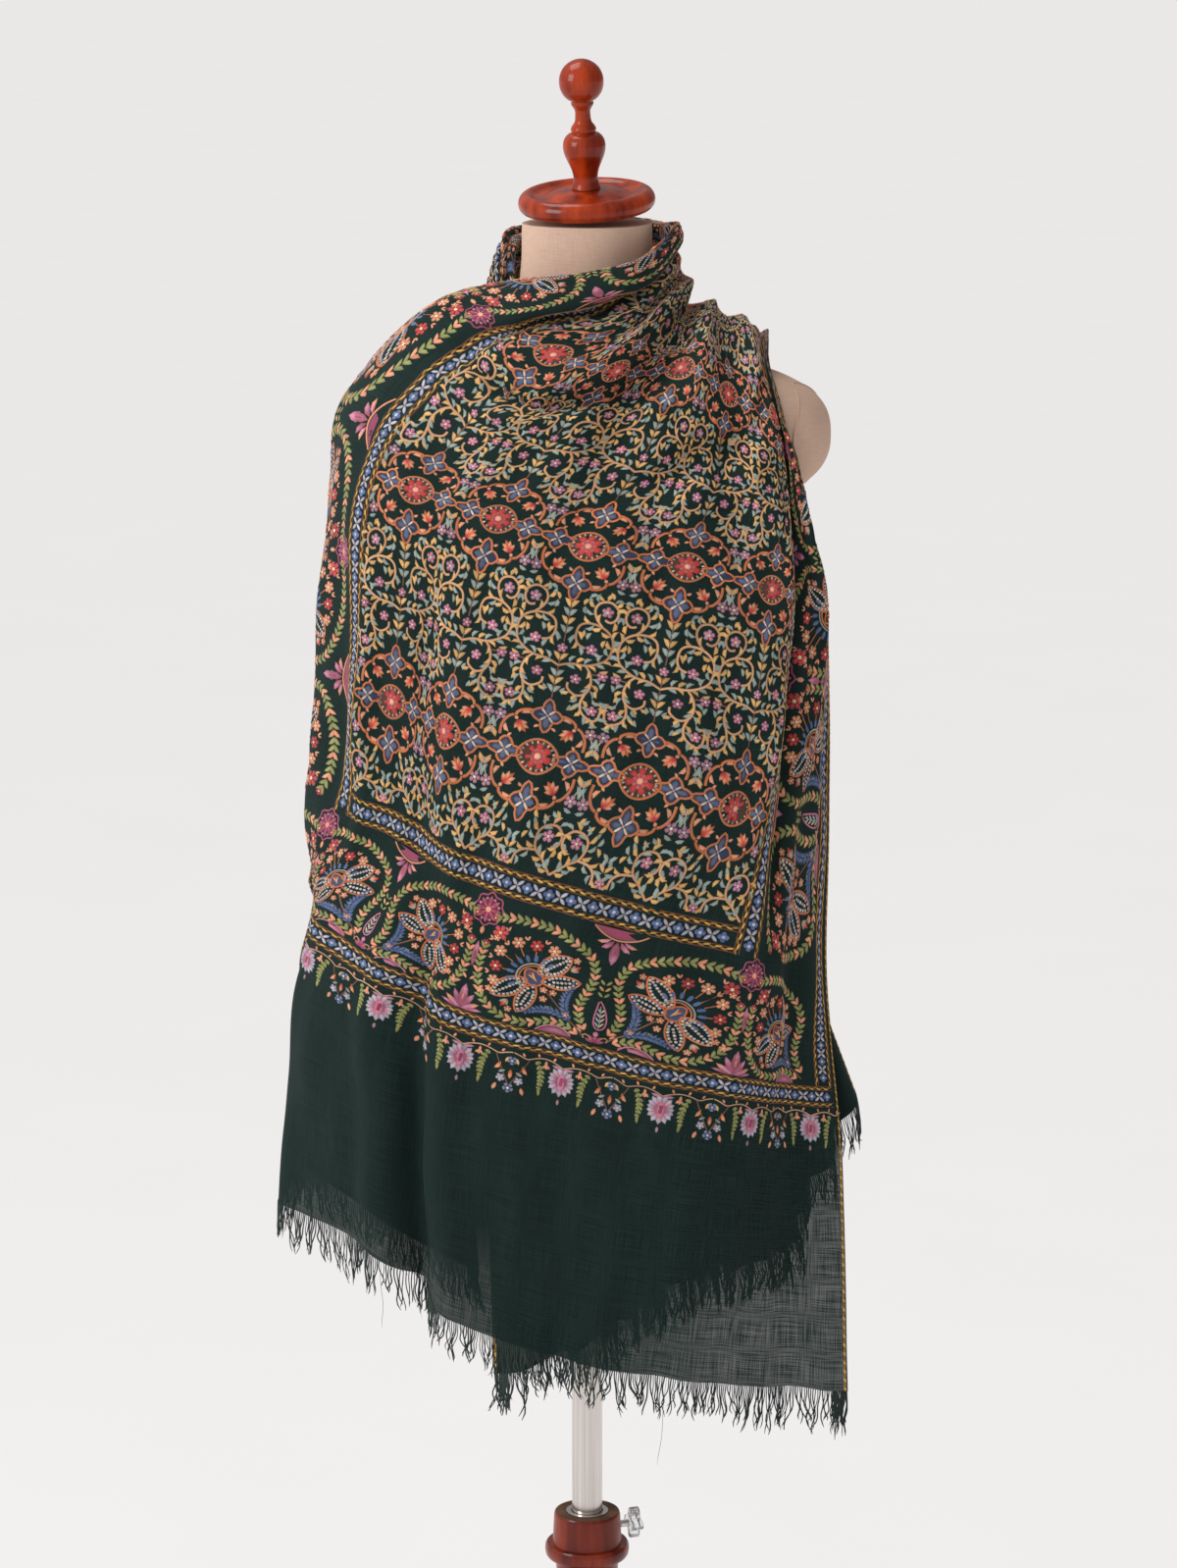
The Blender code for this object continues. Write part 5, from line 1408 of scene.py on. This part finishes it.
def fringe_material():
    """Dark green wool yarn."""
    material, nodes, shader = new_material("fringe_yarn")
    fuzz = nodes.noise(nodes.place(), 900.0)
    nodes.fill(shader, {
        "Base Color": nodes.mix(nodes.spread(fuzz, 0.3, 0.7), (0.010, 0.020, 0.017, 1),
                                (0.030, 0.052, 0.045, 1)),
        "Roughness": 0.85, "Sheen Weight": 0.1, "Normal": nodes.bump(fuzz, 0.4, 0.0003)})
    return material


def linen_material():
    """Cream linen stretched over the form."""
    material, nodes, shader = new_material("linen")
    place = nodes.place()
    threads = nodes.math("ADD", *(nodes.noise(place, 1.0, stretch=stretch) for stretch in (
        (1300.0, 1300.0, 110.0), (110.0, 110.0, 1500.0))))
    tone = nodes.mix(nodes.spread(threads, 0.75, 1.25), (0.62, 0.425, 0.320, 1),
                     (0.71, 0.495, 0.378, 1))
    tone = nodes.mix(nodes.spread(nodes.noise(place, 9.0, 3.0), 0.35, 0.7, 0.0, 0.3), tone,
                     (0.60, 0.405, 0.30, 1))
    nodes.fill(shader, {"Base Color": tone, "Roughness": 0.88, "Specular IOR Level": 0.3,
                        "Normal": nodes.bump(threads, 0.3, 0.0003)})
    return material


def wood_material(name, dark, bright, roughness, coat, grain_scale=(70.0, 70.0, 7.0)):
    """Turned wood, stained and lacquered or left bare, its grain along its smallest scale."""
    material, nodes, shader = new_material(name)
    place = nodes.place()
    grain = nodes.noise(place, 1.0, 4.0, stretch=grain_scale)
    pores = nodes.noise(place, 1.0, stretch=tuple(10.0 * value for value in grain_scale))
    tone = nodes.mix(nodes.spread(grain, 0.32, 0.68), dark, bright)
    tone = nodes.mix(nodes.spread(pores, 0.55, 0.75, 0.0, 0.45), tone,
                     tuple(0.5 * value for value in dark[:3]) + (1.0,))
    nodes.fill(shader, {
        "Base Color": tone, "Specular IOR Level": 0.16, "Coat Weight": coat,
        "Roughness": nodes.spread(grain, 0.2, 0.8, roughness * 0.85, roughness * 1.15),
        "Coat Roughness": 0.07, "Normal": nodes.bump(grain, 0.12, 0.0004)})
    return material


def steel_material():
    """Polished steel tube with fine lengthwise lines."""
    material, nodes, shader = new_material("steel")
    place = nodes.place()
    lines = nodes.noise(place, 1.0, 3.0, stretch=(1400.0, 1400.0, 6.0))
    nodes.fill(shader, {
        "Base Color": nodes.mix(nodes.spread(lines, 0.3, 0.7), (0.56, 0.52, 0.485, 1),
                                (0.80, 0.75, 0.71, 1)),
        "Roughness": nodes.spread(nodes.noise(place, 30.0, 3.0), 0.3, 0.7, 0.20, 0.34),
        "Metallic": 1.0, "Normal": nodes.bump(lines, 0.05, 0.0002)})
    return material


def plastic_material():
    """Clear moulded plastic with faint haze."""
    material, nodes, shader = new_material("clear_plastic")
    haze = nodes.noise(nodes.place(), 220.0, 3.0)
    nodes.fill(shader, {
        "Roughness": nodes.spread(haze, 0.3, 0.7, 0.04, 0.16), "IOR": 1.47,
        "Base Color": nodes.mix(nodes.spread(haze, 0.3, 0.7), (0.90, 0.93, 0.95, 1),
                                (0.97, 0.98, 0.98, 1)),
        "Transmission Weight": 0.9})
    return material


def paper_material(glow):
    """Pale studio paper, lit from below."""
    material, nodes, shader = new_material("studio_paper")
    grain = nodes.noise(nodes.place(), 3.0)
    nodes.fill(shader, {
        "Base Color": nodes.mix(nodes.spread(grain, 0.3, 0.7), (0.235, 0.23, 0.23, 1),
                                (0.25, 0.245, 0.245, 1)),
        "Emission Strength": glow, "Emission Color": (1.0, 0.975, 0.975, 1.0),
        "Roughness": 0.95, "Specular IOR Level": 0.1})
    return material


def oval_reach(angle, wide, deep, power):
    """Return the reach of a rounded oval at an angle: a greater power makes it squarer."""
    return 1.0 / ((abs(cos(angle)) / wide) ** power
                  + (abs(sin(angle)) / deep) ** power) ** (1 / power)


def torso_reach(angle, height):
    """Return the form's reach at an angle about Z, measured from the wearer's left."""
    table = np.array(TORSO_SECTIONS) / 1000.0
    half_width, front, back = smooth_through(table[:, 0], table[:, 1:], [height])[0]
    depth = back if sin(angle) > 0 else front
    body = oval_reach(angle, half_width, depth, TORSO_POWER)
    rise = (height - ARM_HEIGHT) / ARM_HALF_HEIGHT
    if abs(rise) >= 1.0:
        return body
    shape = (1.0 - abs(rise) ** ARM_RISE_POWER) ** (1 / ARM_RISE_POWER)
    arm = oval_reach(angle, ARM_REACH * shape, ARM_HALF_DEPTH * shape, ARM_POWER)
    return (body ** BLEND_POWER + arm ** BLEND_POWER) ** (1 / BLEND_POWER)


def on_form(angle, height, lift=0.0):
    """Return a place on the form, or lifted off it."""
    reach = torso_reach(angle, height) + lift
    return (reach * cos(angle), reach * sin(angle), height)


def tube_mesh(paths, radii, sides=4):
    """Return points and faces of thin tubes along paths, each closed at both ends."""
    points, faces = [], []
    for path, radius in zip(paths, radii):
        path = np.asarray(path, float)
        along = np.gradient(path, axis=0)
        along /= np.linalg.norm(along, axis=1, keepdims=True)
        aside = np.cross(along, (0.31, 0.87, 0.38))
        aside /= np.linalg.norm(aside, axis=1, keepdims=True)
        over = np.cross(along, aside)
        first = len(points)
        reach = np.full(len(path), radius)
        reach[-1] *= 0.4
        for spot, a, b, r in zip(path, aside, over, reach):
            for k in range(sides):
                turn = 2 * pi * k / sides
                points.append(spot + (a * cos(turn) + b * sin(turn)) * r)
        for i in range(len(path) - 1):
            for k in range(sides):
                here, after = first + i * sides + k, first + i * sides + (k + 1) % sides
                faces.append((here, after, after + sides, here + sides))
        faces.append(tuple(range(first + sides - 1, first - 1, -1)))
        last = first + (len(path) - 1) * sides
        faces.append(tuple(range(last, last + sides)))
    return np.array(points), faces


def fringe_paths(cloth, far, settings, rng):
    """Return the strands of one fringe, gathered into wavy clumps below the hem."""
    hem, inward = (PATTERN_LENGTH, -3.0) if far else (0.0, 3.0)
    starts = np.sort(np.concatenate([
        np.linspace(0.002, CLOTH_WIDTH - 0.002, settings.strands),
        rng.uniform(CLOTH_WIDTH - 0.014, CLOTH_WIDTH - 0.001, settings.strands // 14),
        rng.uniform(0.001, 0.010, settings.strands // 30)]))
    hem_line, above = (
        cloth.carry(np.stack([starts * 1000.0, np.full(len(starts), y), 0.0 * starts], axis=1))
        for y in (hem + 0.1 * inward, hem + inward))
    falling = hem_line - above
    falling /= np.linalg.norm(falling, axis=1, keepdims=True)
    across = np.gradient(hem_line, axis=0)
    across /= np.linalg.norm(across, axis=1, keepdims=True)
    paths, radii = [], []
    clump_middle, clump_left = 0, 0
    for k, start in enumerate(hem_line):
        if clump_left == 0:
            clump_left = int(rng.integers(1, 7))
            clump_middle = min(k + clump_left // 2, len(hem_line) - 1)
            clump_wave = rng.uniform(-1.0, 1.0, 3)
            clump_reach = rng.uniform(0.72, 1.12)
        clump_left -= 1
        reach = settings.length * clump_reach * rng.uniform(0.80, 1.12)
        gather = rng.uniform(0.15, 0.85)
        stray = k % STRAY_EVERY == STRAY_EVERY // 3
        reach *= 2.0 if stray else 1.0
        phase, size = rng.uniform(0, 2 * pi), rng.uniform(0.3, 1.0)
        towards = hem_line[clump_middle] - start
        path = []
        for t in np.linspace(0.0, 1.0, 10):
            drop = falling[k] * reach * (t - 0.45 * t * t) * 0.75
            drop = drop + np.array([0.0, 0.0, -1.0]) * reach * (0.25 * t + 0.34 * t * t)
            sway = sin(phase + 8.0 * t) * 0.0032 * size * t + clump_wave[0] * 0.007 * t * t
            depth = clump_wave[1] * 0.003 * t * t + cos(phase + 7.0 * t) * 0.001 * t
            path.append(start + drop + across[k] * sway + np.array([0.3, -0.95, 0.0]) * depth
                        + towards * gather * min(1.0, 1.6 * t) * t)
        paths.append(np.array(path))
        radii.append(0.00018 if stray else rng.uniform(0.00038, 0.00074))
    return paths, radii


class ShawlClothSettings(bpy.types.PropertyGroup):
    """Sizes of the embroidery that the cloth carries."""
    lift: bpy.props.FloatProperty(
        name="Thread Thickness", description="How far the stitches stand off the cloth",
        default=1.0, min=0.2, max=2.0)
    seed: bpy.props.IntProperty(
        name="Tone Seed", description="Seed of the stitches' small changes in tone", default=7)


class ShawlFringeSettings(bpy.types.PropertyGroup):
    """Sizes of the fringes."""
    length: bpy.props.FloatProperty(
        name="Length", description="Length of the strands", default=0.034, unit="LENGTH",
        subtype="DISTANCE")
    strands: bpy.props.IntProperty(
        name="Strands", description="Strands along one hem", default=430)


class ShawlStageSettings(bpy.types.PropertyGroup):
    """Camera and light."""
    distance: bpy.props.FloatProperty(
        name="Distance", description="Level distance from the pole to the camera",
        default=3.711, unit="LENGTH", subtype="DISTANCE")
    height: bpy.props.FloatProperty(
        name="Camera Height", description="Height of the camera above the floor",
        default=1.805, unit="LENGTH", subtype="DISTANCE")
    turn: bpy.props.FloatProperty(
        name="Camera Turn", description="Turn of the camera towards the wearer's left",
        default=radians(18.0), subtype="ANGLE")
    pitch: bpy.props.FloatProperty(
        name="Camera Pitch", description="Tilt of the camera below level",
        default=radians(12.12), subtype="ANGLE")
    key: bpy.props.FloatProperty(
        name="Key Light", description="Power of the main soft light", default=52.0,
        subtype="POWER")
    glow: bpy.props.FloatProperty(
        name="Floor Glow", description="Brightness of the lit floor",
        default=0.70)
    fill: bpy.props.FloatProperty(
        name="Fill", description="Strength of the pale surround", default=0.38)


class SHAWL_OT_cloth(bpy.types.Operator):
    """Lay the sheet of cloth out on the form by its sections and folds."""
    bl_idname = "shawl.cloth"
    bl_label = "Cloth"

    def execute(self, context):
        cloth = Cloth()
        rows, columns = cloth.from_left.shape
        index = np.arange(rows * columns).reshape(rows, columns)
        faces = np.stack([index[:-1, :-1], index[:-1, 1:], index[1:, 1:], index[1:, :-1]],
                         axis=-1).reshape(-1, 4)
        sheet = add_mesh("shawl_cloth", cloth.spots.reshape(-1, 3), faces.tolist(),
                         wool_material())
        flat = np.stack([cloth.from_left.ravel(), cloth.along.ravel()], axis=1)
        layer = sheet.data.uv_layers.new(name="flat")
        corners = np.empty(len(sheet.data.loops), int)
        sheet.data.loops.foreach_get("vertex_index", corners)
        layer.data.foreach_set("uv", flat[corners].ravel())
        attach(sheet, BODY)
        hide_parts("shawl_front", "shawl_behind_neck", "shawl_under_end")
        return {"FINISHED"}


class SHAWL_OT_needlework(bpy.types.Operator):
    """Work the embroidery flat and carry it onto the folded cloth."""
    bl_idname = "shawl.needlework"
    bl_label = "Needlework"

    def execute(self, context):
        settings = context.scene.shawl_cloth
        cloth = Cloth()
        thread = thread_material()
        pieces = (
            ("embroidery_field_front", field_needlework(range(0, 3))),
            ("embroidery_field_neck", field_needlework(range(3, 5))),
            ("embroidery_field_under", field_needlework(range(5, ROWS))),
            ("embroidery_front_end", end_needlework(False)),
            ("embroidery_under_end", end_needlework(True)),
            ("embroidery_border_left_side", side_needlework(False)),
            ("embroidery_border_right_side", side_needlework(True)),
            ("embroidery_selvedges", selvedge_needlework()),
        )
        for k, (name, work) in enumerate(pieces):
            block = work.joined()
            block[0][:, 2] *= settings.lift
            add_needlework(name, work, cloth, settings.seed + k, thread)
        return {"FINISHED"}


class SHAWL_OT_fringes(bpy.types.Operator):
    """Hang the loose warp ends below both hems."""
    bl_idname = "shawl.fringes"
    bl_label = "Fringes"

    def execute(self, context):
        settings = context.scene.shawl_fringe
        yarn = fringe_material()
        cloth = Cloth()
        for name, node, far, seed in (("fringe_of_front_end", "fringe_front", False, 21),
                                      ("fringe_of_under_end", "fringe_under", True, 22)):
            paths, radii = fringe_paths(cloth, far, settings, np.random.default_rng(seed))
            points, faces = tube_mesh(paths, radii, sides=3)
            fringe = add_mesh(name, points, faces, yarn)
            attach(fringe, BODY)
            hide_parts(node)
        return {"FINISHED"}


class SHAWL_OT_form(bpy.types.Operator):
    """Build the linen dress form and its seams."""
    bl_idname = "shawl.form"
    bl_label = "Dress Form"

    def execute(self, context):
        heights = np.concatenate([
            np.linspace(FORM_BOTTOM, 1.225, 46), np.linspace(1.230, 1.412, 62),
            np.linspace(1.418, NECK_TOP, 10)])
        bm = bmesh.new()
        bmesh.ops.create_circle(bm, cap_ends=False, segments=FORM_SIDES, radius=1.0)
        ring = list(bm.verts)
        edges = list(bm.edges)
        for vert in ring:
            vert.co = on_form(atan2(vert.co.y, vert.co.x), heights[0])
        for height in heights[1:]:
            made = bmesh.ops.extrude_edge_only(bm, edges=edges)["geom"]
            edges = [item for item in made if isinstance(item, bmesh.types.BMEdge)]
            for vert in (item for item in made if isinstance(item, bmesh.types.BMVert)):
                vert.co = on_form(atan2(vert.co.y, vert.co.x), height)
        bmesh.ops.holes_fill(bm, edges=[edge for edge in bm.edges if edge.is_boundary])
        bmesh.ops.recalc_face_normals(bm, faces=bm.faces)
        linen = linen_material()
        form = finish_hard("linen_form", bm, linen, sharp=50.0)
        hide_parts("dress_form")
        paths = [[on_form(radians(angle), height, 0.0001)
                  for height in np.linspace(FORM_BOTTOM + 0.002, SEAM_TOP, 90)]
                 for angle in LONG_SEAMS]
        for middle, side in ((0.0, 1), (pi, -1)):
            paths.append([on_form(middle + side * ARM_SEAM_TURN * cos(t),
                                  ARM_HEIGHT + ARM_SEAM_RISE * sin(t), 0.0002)
                          for t in np.linspace(0.0, 2 * pi, 60)])
        paths.append([on_form(angle, NECK_SEAM, 0.0001) for angle in np.linspace(0, 2 * pi, 80)])
        points, faces = tube_mesh(paths, [SEAM_RADIUS] * len(paths), sides=5)
        seams = add_mesh("linen_form_seams", points, faces, linen)
        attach(seams, BODY)
        return {"FINISHED"}


class SHAWL_OT_stand(bpy.types.Operator):
    """Turn the neck cap, finial, column and base, and add the pole and clamp."""
    bl_idname = "shawl.stand"
    bl_label = "Stand"

    def execute(self, context):
        red = wood_material("lacquered_wood", (0.16, 0.011, 0.002, 1),
                            (0.50, 0.050, 0.005, 1), 0.32, 0.34)
        bare = wood_material("bare_end_grain", (0.085, 0.040, 0.020, 1),
                             (0.24, 0.13, 0.07, 1), 0.6, 0.0)
        deep = wood_material("dark_lacquered_wood", (0.10, 0.008, 0.003, 1),
                             (0.29, 0.034, 0.010, 1), 0.32, 0.34)
        board = wood_material("lacquered_board", (0.13, 0.010, 0.003, 1),
                              (0.25, 0.028, 0.008, 1), 0.32, 0.34, (6.0, 110.0, 110.0))
        steel, plastic = steel_material(), plastic_material()
        lean = (Matrix.Rotation(DRAPE_TURN, 4, "Z") @ Matrix.Rotation(CAP_LEAN_SIDE, 4, "Y")
                @ Matrix.Rotation(CAP_LEAN_FORWARD, 4, "X"))
        seat = Matrix.Translation(
            (0.0, 0.0, CAP_UNDERSIDE + NECK_RADIUS * sin(CAP_LEAN_FORWARD))) @ lean
        rise = Matrix.Translation((0.0, 0.0, CAP_PROFILE[0][1] / 1000.0 + JOINT_GAP))
        cap = add_turned("turned_neck_cap", eased_outline(CAP_PROFILE, 0.0012), red, place=seat)
        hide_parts("neck_cap")
        finial = add_turned("turned_finial", eased_outline(FINIAL_PROFILE, 0.0010), red,
                            place=seat @ rise)
        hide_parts("finial")
        column = add_turned("turned_column", np.array(COLLAR_PROFILE) / 1000.0, deep)
        column.data.materials.append(bare)
        for face in column.data.polygons:
            if face.center.z > COLLAR_TOP - 0.0002 and face.normal.z > 0.9:
                face.material_index = 1
        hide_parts("stand_column")
        base = add_turned("turned_base", eased_outline(BASE_PROFILE, 0.002), board, steps=128)
        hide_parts("stand_base")
        bushing = (
            (BUSHING_BORE, COLLAR_TOP + RIM_RISE), (BUSHING_RADIUS, COLLAR_TOP + RIM_RISE),
            (BUSHING_RADIUS, COLLAR_TOP - BUSHING_DEPTH),
            (BUSHING_BORE, COLLAR_TOP - BUSHING_DEPTH))
        ring = add_turned("steel_bushing", np.array(bushing), steel)
        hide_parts("collar_bushing")
        top = FORM_BOTTOM - JOINT_GAP
        low = COLLAR_TOP - BUSHING_DEPTH
        outline = ((0.0, top), (POLE_RADIUS, top), (POLE_RADIUS, low), (0.0, low))
        pole = add_turned("steel_pole", np.array(outline), steel)
        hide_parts("pole")
        self.add_knob(plastic, steel)
        return {"FINISHED"}

    def add_knob(self, plastic, steel):
        """Add the four-armed knob on its screw."""
        outward = Vector((cos(KNOB_DIRECTION), sin(KNOB_DIRECTION), 0.0))
        facing = outward.to_track_quat("Z", "Y").to_matrix().to_4x4()
        height = Vector((0.0, 0.0, KNOB_HEIGHT + KNOB_LIFT))
        bm = bmesh.new()
        bmesh.ops.create_circle(bm, cap_ends=True, segments=96, radius=1.0)
        for vert in bm.verts:
            angle = atan2(vert.co.y, vert.co.x)
            reach = KNOB_RADIUS * (0.78 + 0.22 * cos(4 * angle))
            vert.co = (reach * cos(angle), reach * sin(angle), 0.0)
        made = bmesh.ops.extrude_face_region(bm, geom=list(bm.faces))["geom"]
        bmesh.ops.translate(bm, verts=[v for v in made if isinstance(v, bmesh.types.BMVert)],
                            vec=(0, 0, KNOB_THICKNESS))
        bmesh.ops.recalc_face_normals(bm, faces=bm.faces)
        rims = [edge for edge in bm.edges
                if any(len(face.verts) > 4 for face in edge.link_faces)]
        bmesh.ops.bevel(bm, geom=rims, offset=KNOB_BEVEL, offset_type="OFFSET", segments=3,
                        profile=0.5, affect="EDGES", material=-1)
        bm.transform(Matrix.Translation(outward * (COLLAR_REACH + KNOB_STAND_OFF) + height)
                     @ facing)
        knob = finish_hard("plastic_knob", bm, plastic)
        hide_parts("clamp_knob")
        stem = KNOB_STAND_OFF - 2 * JOINT_GAP - SCREW_GAP
        outline = ((0.0, stem), (SCREW_RADIUS, stem), (SCREW_RADIUS, 0.0), (0.0, 0.0))
        place = Matrix.Translation(outward * (COLLAR_REACH + JOINT_GAP + SCREW_GAP)
                                   + height) @ facing
        screw = add_turned("steel_screw", np.array(outline), steel, steps=48, place=place)
        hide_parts("clamp_screw")


class SHAWL_OT_stage(bpy.types.Operator):
    """Set the pale floor, the soft lights and the camera."""
    bl_idname = "shawl.stage"
    bl_label = "Stage"

    def execute(self, context):
        settings = context.scene.shawl_stage
        scene = context.scene
        bm = bmesh.new()
        bmesh.ops.create_circle(bm, cap_ends=True, segments=64, radius=FLOOR_RADIUS)
        bm.transform(Matrix.Translation((0.0, 0.0, -FLOOR_GAP))
                     @ Matrix.Rotation(settings.turn, 4, "Z"))
        mesh = bpy.data.meshes.new("paper_floor")
        bm.to_mesh(mesh)
        bm.free()
        floor = add_object("paper_floor", mesh, paper_material(settings.glow))

        world = bpy.data.worlds.new("pale_surround")
        world.use_nodes = True
        nodes = Nodes(world.node_tree)
        facing = nodes.add("ShaderNodeTexCoord").outputs["Generated"]
        turned = Matrix.Rotation(settings.turn, 3, "Z")
        brightest = turned @ Vector(SURROUND_BRIGHTEST)
        towards = nodes.add("ShaderNodeVectorMath", {0: facing, 1: brightest},
                            operation="DOT_PRODUCT").outputs["Value"]
        surround = world.node_tree.nodes["Background"]
        nodes.fill(surround, {"Color": SURROUND_COLOUR, "Strength": nodes.spread(
            towards, -1.0, 1.0, settings.fill * SURROUND_LEAST, settings.fill * SURROUND_MOST)})
        scene.world = world

        camera = bpy.data.cameras.new("camera")
        camera.sensor_fit = "VERTICAL"
        camera.sensor_height = SENSOR_HEIGHT
        camera.lens = FOCAL_LENGTH / FRAME_HEIGHT * SENSOR_HEIGHT
        camera.shift_x = FRAME_SHIFT / FRAME_HEIGHT
        camera.clip_end = FAR_CLIP
        camera.dof.use_dof = False
        holder = add_object("camera", camera)
        holder.location = (settings.distance * sin(settings.turn),
                           -settings.distance * cos(settings.turn), settings.height)
        holder.rotation_euler = (pi / 2 - settings.pitch, 0.0, settings.turn)
        scene.camera = holder

        for name, place, size, share in LIGHTS:
            light = bpy.data.lights.new(name, "AREA")
            light.shape = "SQUARE"
            light.size = size
            light.energy = settings.key * share
            lamp = add_object(name, light)
            lamp.location = turned @ Vector(place)
            lamp.rotation_euler = (turned @ (Vector(LIGHT_AIM) - Vector(place))).to_track_quat(
                "-Z", "Y").to_euler()
        floor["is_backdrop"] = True
        scene.view_settings.view_transform = "Standard"
        scene.view_settings.look = "None"
        return {"FINISHED"}


class SHAWL_PT_panel(bpy.types.Panel):
    """Builds the shawl and its stand piece by piece."""
    bl_idname = "SHAWL_PT_panel"
    bl_label = "Shawl"
    bl_space_type = "VIEW_3D"
    bl_region_type = "UI"
    bl_category = "Shawl"

    def draw(self, context):
        layout = self.layout
        scene = context.scene
        for title, group in (("Cloth", scene.shawl_cloth), ("Fringe", scene.shawl_fringe),
                             ("Stage", scene.shawl_stage)):
            box = layout.box()
            box.label(text=title)
            for name in group.bl_rna.properties.keys():
                if name not in ("rna_type", "name"):
                    box.prop(group, name)
        for operator in OPERATORS:
            layout.operator(operator.bl_idname)


GROUPS = (ShawlClothSettings, ShawlFringeSettings, ShawlStageSettings)
OPERATORS = (SHAWL_OT_form, SHAWL_OT_stand, SHAWL_OT_cloth, SHAWL_OT_needlework,
             SHAWL_OT_fringes, SHAWL_OT_stage)


def register():
    """Register the settings, operators and panel."""
    for group in GROUPS + OPERATORS + (SHAWL_PT_panel,):
        bpy.utils.register_class(group)
    bpy.types.Scene.shawl_cloth = bpy.props.PointerProperty(type=ShawlClothSettings)
    bpy.types.Scene.shawl_fringe = bpy.props.PointerProperty(type=ShawlFringeSettings)
    bpy.types.Scene.shawl_stage = bpy.props.PointerProperty(type=ShawlStageSettings)


def unregister():
    """Take the settings, operators and panel away again."""
    for name in ("shawl_cloth", "shawl_fringe", "shawl_stage"):
        delattr(bpy.types.Scene, name)
    for group in reversed(GROUPS + OPERATORS + (SHAWL_PT_panel,)):
        bpy.utils.unregister_class(group)


def corners():
    """Return the shown object's box as plain lists."""
    return [[float(value) for value in corner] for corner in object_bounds()]


def main():
    """Build every piece in order."""
    register()
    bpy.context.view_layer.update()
    bpy.ops.shawl.form()
    bpy.ops.shawl.stand()
    bpy.ops.shawl.cloth()
    bpy.ops.shawl.needlework()
    bpy.ops.shawl.fringes()
    bpy.ops.shawl.stage()


if __name__ == "__main__":
    main()
